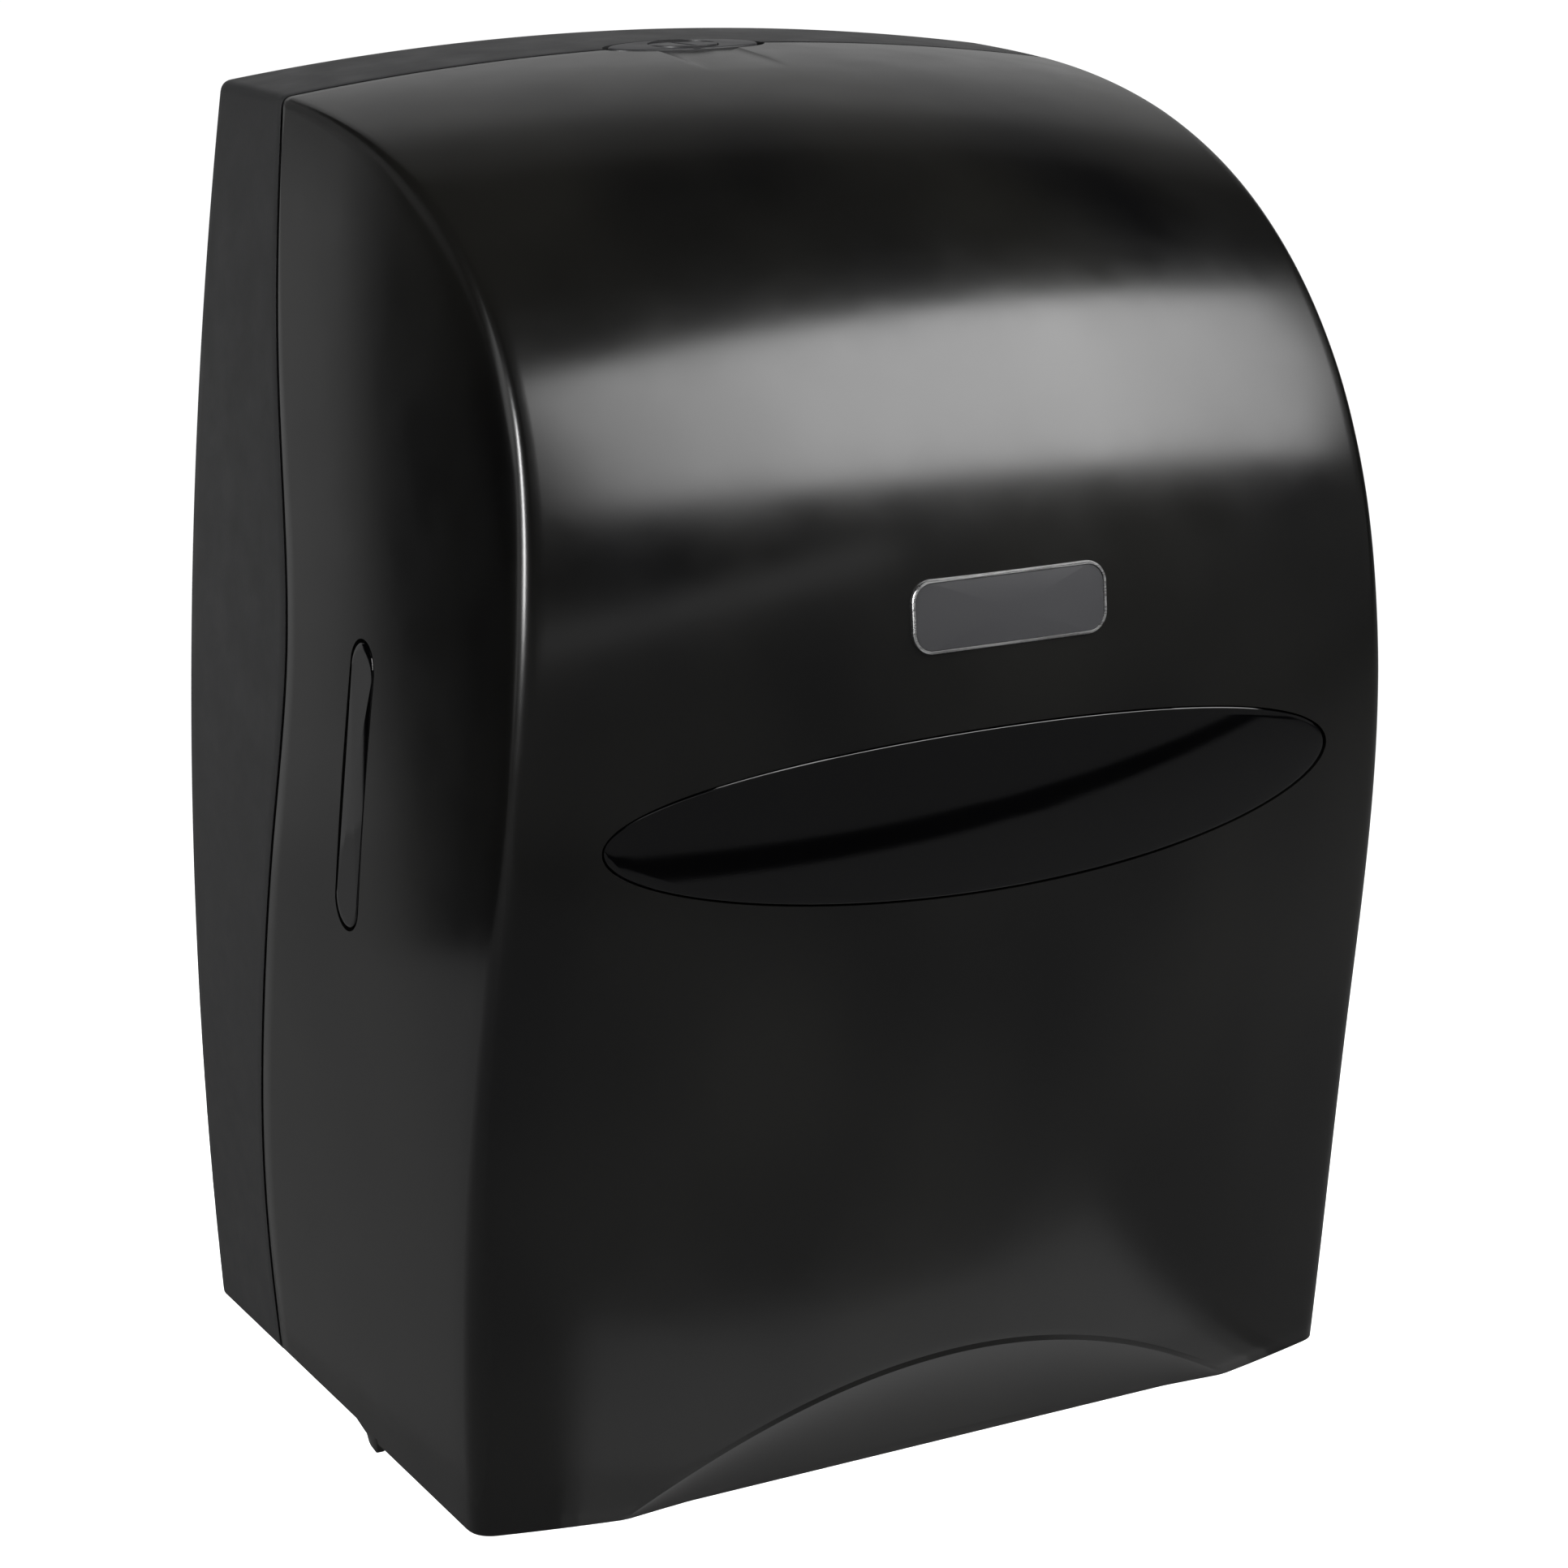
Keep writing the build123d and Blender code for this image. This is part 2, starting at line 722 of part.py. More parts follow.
with BuildPart() as drum_grip_bands:
    for x in tyre_places:
        span = (x - tyre_width / 2 + running_clearance, x + tyre_width / 2 - running_clearance)
        rod(drum_radius, *span, drum_y, drum_z)
        rod(drum_radius - band_depth + running_clearance, *span, drum_y, drum_z, mode=Mode.SUBTRACT)
    slab((-knife_half, knife_half), slot_y, slot_z, mode=Mode.SUBTRACT)
save(drum_grip_bands, "drum_grip_bands")

follower_low = follower_orbit - follower_radius - slide_clearance
follower_high = follower_orbit + knife_travel + follower_radius + slide_clearance
for side, sign in (("left", -1), ("right", 1)):
    with BuildPart() as drum_end:
        rod(drum_radius, sign * drum_length / 2, sign * drum_end_face, drum_y, drum_z)
        rod(
            shell_bore - running_clearance, sign * (drum_length / 2 - spigot_length), sign * drum_length / 2,
            drum_y, drum_z,
        )
        rod(shaft_radius + running_clearance, 0, sign * drum_end_face, drum_y, drum_z, mode=Mode.SUBTRACT)
        slab(
            (0, sign * drum_end_face), (drum_y - follower_high, drum_y - follower_low),
            (drum_z - follower_radius - slide_clearance, drum_z + follower_radius + slide_clearance),
            mode=Mode.SUBTRACT,
        )
    save(drum_end, f"drum_end_{side}")

with BuildPart() as drum_shaft:
    rod(shaft_radius, -index_outer, wheel_outer, drum_y, drum_z)
    chamfer(drum_shaft.edges(), band_depth)
save(drum_shaft, "drum_shaft")

with BuildPart() as feed_wheel:
    with BuildSketch(Plane.YZ.offset(wheel_inner)):
        with Locations((drum_y, drum_z)):
            Circle(wheel_radius)
            Circle(shaft_radius + running_clearance, mode=Mode.SUBTRACT)
            with PolarLocations(wheel_radius, wheel_grips):
                Circle(grip_radius, mode=Mode.SUBTRACT)
    extrude(amount=wheel_thickness)
save(feed_wheel, "feed_wheel")

with BuildPart() as index_cam:
    with BuildSketch(Plane.YZ.offset(-index_outer)):
        with Locations((drum_y, drum_z)):
            Circle(index_radius)
            Circle(shaft_radius + running_clearance, mode=Mode.SUBTRACT)
        with Locations((drum_y, drum_z - index_radius)):
            Circle(index_notch / 2, mode=Mode.SUBTRACT)
    extrude(amount=index_thickness)
save(index_cam, "index_cam")

for side, sign in (("left", -1), ("right", 1)):
    with BuildPart() as drum_bush:
        bush_start = plate_inner - bush_flange_thickness
        bush_end = plate_outer + slide_clearance
        rod(bush_flange_radius, sign * bush_start, sign * plate_inner, drum_y, drum_z)
        rod(bush_radius, sign * plate_inner, sign * bush_end, drum_y, drum_z)
        rod(
            shaft_radius + running_clearance, sign * bush_start, sign * bush_end, drum_y, drum_z,
            mode=Mode.SUBTRACT,
        )
    save(drum_bush, f"drum_bush_{side}")

detent_top = drum_z - index_radius - seat_gap
with BuildPart() as detent_spring:
    slab(
        (-index_outer, -plate_outer), (drum_y - detent_length / 2, drum_y + detent_length / 2),
        (detent_top - leaf_thickness, detent_top),
    )
save(detent_spring, "detent_spring")

# Knife: serrated blade on a carrier inside the drum, whose follower runs in a ring track on the left plate
tip_reach = drum_radius - knife_tip_depth
carrier_low = follower_orbit - carrier_height / 2 - end_gap
teeth_edge = tyre_places[-1] - tyre_width / 2 - blade_gap_margin
teeth = round(2 * teeth_edge / tooth_pitch)
gap_floor = tip_reach - knife_travel - end_gap
with BuildPart() as knife_blade:
    with BuildSketch(Plane.XY.offset(blade_low)):
        zigzag = []
        for count in range(2 * teeth + 1):
            reach = tip_reach - tooth_height * ((count + 1) % 2)
            zigzag.append((-teeth_edge + count * teeth_edge / teeth, drum_y - reach))
        root_y = drum_y - tip_reach + blade_height
        with BuildLine():
            Polyline(
                (-knife_half, root_y),
                (-knife_half, drum_y - gap_floor),
                (-teeth_edge, drum_y - gap_floor),
                *zigzag,
                (teeth_edge, drum_y - gap_floor),
                (knife_half, drum_y - gap_floor),
                (knife_half, root_y),
                close=True,
            )
        make_face()
        for x in tyre_places[1:-1]:
            with Locations((x, drum_y - gap_floor)):
                Rectangle(
                    tyre_width + 2 * blade_gap_margin, 2 * tip_reach, align=(Align.CENTER, Align.MAX),
                    mode=Mode.SUBTRACT,
                )
    extrude(amount=blade_thickness)
save(knife_blade, "knife_blade")

with BuildPart() as knife_carrier:
    slab(
        (-knife_half, knife_half), (drum_y - carrier_low - carrier_height, drum_y - carrier_low),
        (drum_z - carrier_thickness / 2, drum_z + carrier_thickness / 2),
    )
save(knife_carrier, "knife_carrier")

cam_face = plate_inner - cam_plate_thickness
with BuildPart() as knife_followers:
    rod(follower_radius, -(cam_face + cam_track_depth / 2), -knife_half, drum_y - follower_orbit, drum_z)
    rod(follower_radius, knife_half, drum_end_face - end_gap, drum_y - follower_orbit, drum_z)
save(knife_followers, "knife_followers")

track_inner = follower_orbit - follower_radius - track_margin
track_outer = follower_orbit + knife_travel + follower_radius + track_margin
with BuildPart() as knife_cam_plate:
    rod(track_outer + cam_plate_thickness, -plate_inner, -cam_face, drum_y, drum_z)
    rod(track_outer, -(cam_face + cam_track_depth), -cam_face, drum_y, drum_z, mode=Mode.SUBTRACT)
    rod(track_inner, -(cam_face + cam_track_depth), -cam_face, drum_y, drum_z)
    rod(bush_flange_radius + seat_gap, -plate_inner, -cam_face, drum_y, drum_z, mode=Mode.SUBTRACT)
save(knife_cam_plate, "knife_cam_plate")

# Pinch roller: tyred shaft in two sprung blocks that slide away from the drum
for side, sign in (("left", -1), ("right", 1)):
    flange_end = plate_inner - slide_clearance
    with BuildPart() as pinch_block:
        with BuildSketch(Plane.YZ.offset(sign * flange_end)):
            with Locations(Location((pinch_y, pinch_z), pinch_angle)):
                Rectangle(block_size, block_size)
        extrude(amount=sign * (plate_outer + block_proud - flange_end))
        with BuildSketch(Plane.YZ.offset(sign * flange_end)):
            with Locations(Location((pinch_y, pinch_z), pinch_angle)):
                Rectangle(block_flange_size, block_flange_size)
        extrude(amount=-sign * block_flange)
        rod(pinch_shaft_radius + running_clearance, 0, sign * far, pinch_y, pinch_z, mode=Mode.SUBTRACT)
    save(pinch_block, f"pinch_block_{side}")

with BuildPart() as pinch_shaft:
    rod(pinch_shaft_radius, -plate_outer, plate_outer, pinch_y, pinch_z)
save(pinch_shaft, "pinch_shaft")

with BuildPart() as pinch_tyres:
    for x in tyre_places:
        rod(pinch_radius, x - tyre_width / 2, x + tyre_width / 2, pinch_y, pinch_z)
        rod(
            pinch_shaft_radius + running_clearance, x - tyre_width / 2, x + tyre_width / 2, pinch_y, pinch_z,
            mode=Mode.SUBTRACT,
        )
save(pinch_tyres, "pinch_tyres")

leaf_lift = block_size / 2 + seat_gap + leaf_thickness / 2
leaf_place = (pinch_y + leaf_lift * lift_y, pinch_z + leaf_lift * lift_z)
with BuildPart() as pinch_leaf_springs:
    for sign in (-1, 1):
        with BuildSketch(Plane.YZ.offset(sign * plate_outer)):
            with Locations(Location(leaf_place, pinch_angle)):
                Rectangle(leaf_thickness, pinch_leaf_length)
        extrude(amount=sign * block_proud)
save(pinch_leaf_springs, "pinch_leaf_springs")

# Towel path: stripper fingers between the tyres' paths and a folded chute down to the exit
stripper_y = -stripper_place[0]
stripper_z = z_bottom + stripper_place[1]
finger_reach = (drum_radius + finger_gap) / hypot(stripper_y - drum_y, stripper_z - drum_z)
finger_tip = (
    drum_y + (stripper_y - drum_y) * finger_reach,
    drum_z + (stripper_z - drum_z) * finger_reach,
)
with BuildPart() as stripper_bar:
    slab(
        (-plate_inner, plate_inner), (stripper_y - stripper_size / 2, stripper_y + stripper_size / 2),
        (stripper_z - stripper_size / 2, stripper_z + stripper_size / 2),
    )
    for x in tyre_places:
        with BuildSketch(Plane.YZ.offset(x - finger_width / 2)):
            with BuildLine():
                Polyline(
                    (stripper_y - stripper_size / 2, stripper_z),
                    (stripper_y + stripper_size / 2, stripper_z),
                    finger_tip,
                    close=True,
                )
            make_face()
        extrude(amount=finger_width)
save(stripper_bar, "stripper_bar")

chute_floor = base_high + chute_thickness / 2
chute_half = plate_inner - seat_gap
with BuildPart() as exit_chute:
    with BuildSketch(Plane.YZ.offset(-chute_half)):
        with BuildLine():
            Polyline(
                (-base_front + chute_foot, chute_floor),
                (-base_front, chute_floor),
                (-chute_apex[0], z_bottom + chute_apex[1]),
                (-chute_lip[0], z_bottom + chute_lip[1]),
            )
        trace(line_width=chute_thickness)
    extrude(amount=2 * chute_half)
save(exit_chute, "exit_chute")
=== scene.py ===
"""Roll towel dispenser: finishes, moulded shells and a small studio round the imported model."""

import json
import logging
import math
from contextlib import contextmanager
from dataclasses import dataclass, field
from enum import Enum
from typing import Callable, Iterator, Sequence

import bmesh
import bpy
import numpy as np
from mathutils import Matrix, Vector


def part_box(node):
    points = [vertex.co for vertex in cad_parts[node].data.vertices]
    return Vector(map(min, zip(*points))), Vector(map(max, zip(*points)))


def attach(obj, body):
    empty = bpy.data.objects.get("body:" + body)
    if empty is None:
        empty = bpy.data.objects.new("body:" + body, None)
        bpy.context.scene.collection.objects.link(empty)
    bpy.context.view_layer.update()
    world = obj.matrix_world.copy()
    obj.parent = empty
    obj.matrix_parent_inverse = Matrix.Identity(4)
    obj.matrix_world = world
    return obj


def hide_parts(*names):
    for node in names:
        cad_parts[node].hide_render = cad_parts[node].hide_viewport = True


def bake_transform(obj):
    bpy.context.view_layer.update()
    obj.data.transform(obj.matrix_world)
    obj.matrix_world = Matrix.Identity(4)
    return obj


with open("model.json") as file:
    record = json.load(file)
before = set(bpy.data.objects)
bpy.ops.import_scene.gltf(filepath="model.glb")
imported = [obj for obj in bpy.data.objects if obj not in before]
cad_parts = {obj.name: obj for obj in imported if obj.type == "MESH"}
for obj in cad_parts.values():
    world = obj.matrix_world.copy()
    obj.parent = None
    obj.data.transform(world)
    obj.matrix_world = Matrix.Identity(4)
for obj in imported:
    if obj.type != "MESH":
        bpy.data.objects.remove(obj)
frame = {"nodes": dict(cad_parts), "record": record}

Material, Node, Piece, Socket = bpy.types.Material, bpy.types.Node, bpy.types.Object, bpy.types.NodeSocket
Array = np.ndarray

MM = 0.001
MIRROR = (-1.0, 1.0, 1.0)
IMAGE = 1932
log = logging.getLogger("dispenser")


class Side(Enum):
    """The dispenser's two sides, with the sign of X on each."""

    LEFT = -1
    RIGHT = 1


class Body(Enum):
    """Bodies of the model that pieces ride on."""

    HOUSING = "housing"
    COVER = "cover"
    LOCK = "lock"
    DRUM = "drum"
    KNIFE = "knife"
    PINCH_CARRIAGE = "pinch_carriage"
    PINCH_ROLLER = "pinch_roller"
    LEFT_HUB = "left_hub"
    RIGHT_ARM = "right_arm"
    RIGHT_HUB = "right_hub"


class Graph:
    """A node tree, with one call that adds a node, sets it up and links it."""

    def __init__(self, tree: bpy.types.NodeTree) -> None:
        """Takes up a tree.

        Args:
            tree: the tree to work on.
        """
        self.tree = tree
        self.nodes = tree.nodes

    def link(self, start: Socket, end: Socket) -> None:
        """Joins two sockets."""
        self.tree.links.new(start, end)

    def fill(self, node: Node, inputs: dict) -> Node:
        """Sets or links a node's inputs.

        Args:
            node: the node.
            inputs: input names or numbers and the sockets or values that feed them.

        Returns:
            The node.
        """
        for key, value in inputs.items():
            if isinstance(value, Socket):
                self.link(value, node.inputs[key])
            else:
                node.inputs[key].default_value = value
        return node

    def add(self, kind: str, inputs: dict | None = None, **values) -> Node:
        """Adds a node.

        Args:
            kind: node type, without its GeometryNode prefix unless it is another family.
            inputs: input names or numbers and the sockets or values that feed them.
            values: properties of the node.

        Returns:
            The node.
        """
        node = self.nodes.new(kind if kind.startswith("Shader") else "GeometryNode" + kind)
        for name, value in values.items():
            setattr(node, name, value)
        return self.fill(node, inputs or {})

    def blended(self, *parts: Socket) -> Socket:
        """Returns a shader between two others, from the socket that picks one and then the two shaders."""
        return self.add("ShaderNodeMixShader", dict(enumerate(parts))).outputs[0]


class Tree(Graph):
    """A material's node tree, with short calls for the nodes that the finishes share."""

    middle = (0.3, 0.7)

    def __init__(self, name: str) -> None:
        """Starts a material with its shader and object coordinates.

        Args:
            name: name of the material.
        """
        self.material = bpy.data.materials.new(name)
        self.material.use_nodes = True
        super().__init__(self.material.node_tree)
        self.shader = self.nodes["Principled BSDF"]
        self.place = self.add("ShaderNodeTexCoord").outputs["Object"]

    def noise(self, scale: float, detail: float = 4.0, stretch: Sequence[float] | None = None) -> Socket:
        """Adds a noise pattern over the object's own coordinates.

        Args:
            scale: patches for each metre.
            detail: how many finer layers it has.
            stretch: scale along X, Y and Z, for a brushed grain.

        Returns:
            The pattern's value socket.
        """
        place = self.place
        if stretch is not None:
            place = self.add("ShaderNodeMapping", {"Scale": stretch, "Vector": place}).outputs["Vector"]
        return self.add("ShaderNodeTexNoise", {"Scale": scale, "Detail": detail, "Vector": place}).outputs["Fac"]

    def spread(self, value: Socket, low: float, high: float) -> Socket:
        """Maps a noise value's middle range onto low to high.

        Args:
            value: the noise.
            low: result for a low noise value.
            high: result for a high one.

        Returns:
            The mapped socket.
        """
        first, last = self.middle
        return self.add("ShaderNodeMapRange", {
            "From Min": first, "From Max": last, "To Min": low, "To Max": high, "Value": value,
        }).outputs["Result"]

    def tint(self, value: Socket, dark: Sequence[float], light: Sequence[float]) -> None:
        """Varies the base colour between two tones.

        Args:
            value: what picks the tone.
            dark: colour at low values.
            light: colour at high values.
        """
        node = self.add("ShaderNodeValToRGB", {"Fac": value})
        for stop, place, colour in zip(node.color_ramp.elements, self.middle, (dark, light)):
            stop.position, stop.color = place, (*colour, 1)
        self.fill(self.shader, {"Base Color": node.outputs["Color"]})

    def bump(self, *layers: tuple[Socket, float, float]) -> None:
        """Stacks bumps on the surface.

        Args:
            layers: height socket, strength and depth in metres of each bump.
        """
        below = None
        for height, strength, depth in layers:
            node = self.add("ShaderNodeBump", {"Strength": strength, "Distance": depth, "Height": height})
            if below is not None:
                self.link(below, node.inputs["Normal"])
            below = node.outputs["Normal"]
        self.link(below, self.shader.inputs["Normal"])


def shade(colour: Sequence[float], times: float) -> tuple[float, ...]:
    """Returns a colour made lighter or darker."""
    return tuple(min(1.0, part * times) for part in colour)


@dataclass(frozen=True)
class MouldedPlastic:
    """Spark-eroded matte plastic: fine grain, uneven gloss and a trace of dust."""

    name: str
    colour: tuple[float, float, float]
    roughness: float = 0.5
    grain: float = 1500.0
    grain_strength: float = 0.3
    grain_depth: float = 0.00012
    patch: float = 0.1
    patch_scale: float = 14.0
    uneven: float = 0.06
    gloss_scale: float = 60.0
    wave_scale: float = 35.0
    wave: tuple[float, float] = (0.02, 0.0004)

    def build(self) -> Material:
        """Returns the finish as a material."""
        tree = Tree(self.name)
        fine = tree.noise(self.grain, 3.0)
        broad = tree.noise(self.patch_scale, 5.0)
        tree.tint(broad, shade(self.colour, 1 - self.patch), shade(self.colour, 1 + self.patch))
        patches = tree.noise(self.gloss_scale, 6.0)
        gloss = tree.spread(patches, self.roughness - self.uneven, self.roughness + self.uneven)
        tree.fill(tree.shader, {"Roughness": gloss})
        tree.bump((tree.noise(self.wave_scale, 2.0), *self.wave), (fine, self.grain_strength, self.grain_depth))
        return tree.material


@dataclass(frozen=True)
class SmokePlastic:
    """Near-black smoke plastic: satin or polished, with the faint waviness of a moulding.

    Where it is a little clearer, the cloud colour stands for the paler inside that shows through.
    """

    name: str
    colour: tuple[float, float, float]
    roughness: float
    level: float = 0.5
    wave: float = 0.05
    cloud: tuple[float, float, float] | None = None
    tones: tuple[float, float] = (0.85, 1.2)
    drift: tuple[float, float, float] = (15.0, 12.0, 8.0)
    gloss: tuple[float, float] = (0.9, 1.12)
    gloss_scale: float = 45.0
    wave_scale: float = 22.0
    wave_depth: float = 0.0006
    haze_scale: float = 2600.0
    haze: tuple[float, float] = (0.06, 0.00004)

    def build(self) -> Material:
        """Returns the finish as a material."""
        tree = Tree(self.name)
        dark, light = (shade(self.colour, times) for times in self.tones)
        tree.tint(tree.noise(1.0, 1.0, self.drift), dark, self.cloud or light)
        low, high = self.gloss
        gloss = tree.spread(tree.noise(self.gloss_scale, 6.0), self.roughness * low, self.roughness * high)
        tree.fill(tree.shader, {"Roughness": gloss, "Specular IOR Level": self.level, "IOR": 1.5})
        waves, haze = tree.noise(self.wave_scale, 2.0), tree.noise(self.haze_scale, 2.0)
        tree.bump((waves, self.wave, self.wave_depth), (haze, *self.haze))
        return tree.material


@dataclass(frozen=True)
class BrushedSteel:
    """Drawn or rolled steel with its grain along X."""

    name: str
    colour: tuple[float, float, float]
    roughness: float = 0.3
    tones: tuple[float, float] = (0.85, 1.08)
    tone_scale: float = 30.0
    uneven: tuple[float, float] = (0.08, 0.1)
    grain: tuple[float, float, float] = (60.0, 2600.0, 2600.0)
    grain_bump: tuple[float, float] = (0.12, 0.00005)

    def build(self) -> Material:
        """Returns the finish as a material."""
        tree = Tree(self.name)
        lines = tree.noise(1.0, 5.0, self.grain)
        tree.tint(tree.noise(self.tone_scale), *(shade(self.colour, times) for times in self.tones))
        gloss = tree.spread(lines, self.roughness - self.uneven[0], self.roughness + self.uneven[1])
        tree.fill(tree.shader, {"Metallic": 1.0, "Roughness": gloss})
        tree.bump((lines, *self.grain_bump))
        return tree.material


@dataclass(frozen=True)
class GripRubber:
    """Soft black rubber with a dusty bloom."""

    name: str
    colour: tuple[float, float, float]
    bloom: float = 2.2
    bloom_scale: float = 120.0
    roughness: tuple[float, float] = (0.6, 0.85)
    gloss_scale: float = 300.0
    grain: float = 2200.0
    grain_bump: tuple[float, float] = (0.4, 0.0001)

    def build(self) -> Material:
        """Returns the finish as a material."""
        tree = Tree(self.name)
        tree.tint(tree.noise(self.bloom_scale, 6.0), self.colour, shade(self.colour, self.bloom))
        tree.fill(tree.shader, {"Roughness": tree.spread(tree.noise(self.gloss_scale, 4.0), *self.roughness)})
        tree.bump((tree.noise(self.grain, 3.0), *self.grain_bump))
        return tree.material


FINISHES = {
    "housing_plastic": MouldedPlastic("housing_charcoal", (0.0058, 0.0059, 0.0063), 0.5, patch=0.06),
    "cover_smoke": SmokePlastic(
        "cover_satin_smoke", (0.0007, 0.0007, 0.0008), 0.22, 0.45, cloud=(0.0034, 0.0033, 0.0029),
    ),
    "window_smoke": SmokePlastic("window_polished_smoke", (0.0006, 0.0006, 0.0007), 0.05, 0.5, 0.02),
    "badge_satin": SmokePlastic("badge_satin_grey", (0.02, 0.02, 0.0215), 0.34),
    "lock_plastic": MouldedPlastic("lock_black", (0.012, 0.012, 0.013), 0.42),
    "chassis_plastic": MouldedPlastic("chassis_grey", (0.16, 0.165, 0.17), 0.48),
    "drum_plastic": MouldedPlastic("drum_black", (0.02, 0.02, 0.021), 0.4),
    "wheel_plastic": MouldedPlastic("wheel_blue_grey", (0.06, 0.075, 0.1), 0.44),
    "bush_nylon": MouldedPlastic("bush_nylon_white", (0.62, 0.6, 0.54), 0.38, patch=0.04),
    "steel": BrushedSteel("bright_steel", (0.6, 0.6, 0.6), 0.28),
    "spring_steel": BrushedSteel("blued_spring_steel", (0.33, 0.35, 0.4), 0.24),
    "grip_rubber": GripRubber("grip_rubber_black", (0.007, 0.007, 0.007)),
}


class Paintbox:
    """Builds each finish once and hands out its material."""

    def __init__(self) -> None:
        """Starts with no material made."""
        self.made: dict[str, Material] = {}
        self.slots = {part["node"]: part["material_slot"] for part in frame["record"]["subparts"]}

    def material(self, slot: str) -> Material:
        """Returns the material of a slot of the record."""
        if slot not in self.made:
            self.made[slot] = FINISHES[slot].build()
        return self.made[slot]

    def slot_of(self, node: str) -> str:
        """Returns the record's slot of a node of the model."""
        return self.slots[node]


PAINTS = Paintbox()


def linked(name: str, data: bpy.types.ID) -> Piece:
    """Returns a new object for a mesh, a light or a camera, linked to the scene."""
    piece = bpy.data.objects.new(name, data)
    bpy.context.scene.collection.objects.link(piece)
    return piece


def new_object(name: str, points: Array, faces: Sequence[Sequence[int]]) -> Piece:
    """Makes a mesh object at the origin.

    Args:
        name: name of the object.
        points: corner points in metres.
        faces: corner numbers of each face.

    Returns:
        The object, linked to the scene.
    """
    mesh = bpy.data.meshes.new(name)
    mesh.from_pydata(np.asarray(points, float).reshape(-1, 3).tolist(), [], [list(face) for face in faces])
    mesh.update()
    return linked(name, mesh)


def bake(piece: Piece) -> None:
    """Turns a piece's live modifiers into plain mesh."""
    bpy.context.view_layer.update()
    ready = piece.evaluated_get(bpy.context.evaluated_depsgraph_get())
    mesh = bpy.data.meshes.new_from_object(ready)
    piece.modifiers.clear()
    piece.data = mesh


@contextmanager
def editing(piece: Piece) -> Iterator[bmesh.types.BMesh]:
    """Opens a piece's mesh for editing, and writes it back."""
    work = bmesh.new()
    work.from_mesh(piece.data)
    yield work
    work.to_mesh(piece.data)
    work.free()


def tidy(piece: Piece, merge: float = 2e-6, outward: bool = False) -> None:
    """Merges doubles and drops flat slivers.

    Args:
        piece: mesh to tidy.
        merge: distance under which points become one, in metres.
        outward: whether to turn the faces outwards too.
    """
    with editing(piece) as work:
        bmesh.ops.remove_doubles(work, verts=work.verts, dist=merge)
        bmesh.ops.dissolve_degenerate(work, dist=merge, edges=work.edges)
        if outward:
            bmesh.ops.recalc_face_normals(work, faces=work.faces)


def smooth(piece: Piece, angle: float = 35.0) -> None:
    """Shades a piece smooth, but for edges sharper than the angle in degrees."""
    piece.data.polygons.foreach_set("use_smooth", [True] * len(piece.data.polygons))
    piece.data.set_sharp_from_angle(angle=math.radians(angle))


def round_edges(piece: Piece, width: float, angle: float = 40.0, steps: int = 2) -> None:
    """Rounds a piece's sharp edges.

    Args:
        piece: mesh to round.
        width: size of the rounding in millimetres.
        angle: edges sharper than this many degrees are rounded.
        steps: faces across the rounding.
    """
    bevel = piece.modifiers.new("edges", "BEVEL")
    bevel.width = width * MM
    bevel.segments = steps
    bevel.limit_method = "ANGLE"
    bevel.angle_limit = math.radians(angle)
    bevel.use_clamp_overlap = True
    bevel.miter_outer = "MITER_ARC"
    bake(piece)


def cut(piece: Piece, tool: Piece) -> None:
    """Takes the tool's volume out of a piece and deletes the tool."""
    taken = piece.modifiers.new("cut", "BOOLEAN")
    taken.operation = "DIFFERENCE"
    taken.solver = "EXACT"
    taken.object = tool
    bake(piece)
    bpy.data.objects.remove(tool)


def join(name: str, pieces: Sequence[Piece]) -> Piece:
    """Joins meshes into one object and deletes the old ones.

    Args:
        name: name of the joined object.
        pieces: meshes at the origin.

    Returns:
        The joined object.
    """
    work = bmesh.new()
    for piece in pieces:
        work.from_mesh(piece.data)
    mesh = bpy.data.meshes.new(name)
    work.to_mesh(mesh)
    work.free()
    for piece in pieces:
        bpy.data.objects.remove(piece)
    return linked(name, mesh)


def score(piece: Piece, start: Vector, end: Vector, count: int = 14) -> None:
    """Divides a piece across at even steps from start to end, so that it can bend there."""
    with editing(piece) as work:
        for share in np.linspace(0, 1, count):
            whole = [*work.verts, *work.edges, *work.faces]
            bmesh.ops.bisect_plane(work, geom=whole, plane_co=start.lerp(end, share), plane_no=end - start)


def grid_faces(rows: int, columns: int, first: int = 0, flip: bool = False) -> list[tuple[int, ...]]:
    """Returns the four-sided faces of a grid of points numbered by rows from first."""
    faces = []
    for row in range(rows - 1):
        for column in range(columns - 1):
            corner = first + row * columns + column
            face = (corner, corner + 1, corner + columns + 1, corner + columns)
            faces.append(face[::-1] if flip else face)
    return faces


def ring_faces(rings: int, count: int, wrap: bool = False) -> list[tuple[int, ...]]:
    """Returns the faces between closed rings of count points, and from the last to the first if it wraps."""
    return [
        (ring * count + i, ring * count + (i + 1) % count, (ring + 1) % rings * count + (i + 1) % count,
         (ring + 1) % rings * count + i)
        for ring in range(rings if wrap else rings - 1) for i in range(count)
    ]


def square_to(axis: int, shift: Sequence[float] = (0, 0)) -> Callable[[Array, float], Array]:
    """Returns a prism's place: square to an axis (0 to 2 for X to Z), its outline moved by shift."""
    return lambda flat, far: np.insert(flat + shift, axis, far, axis=1)


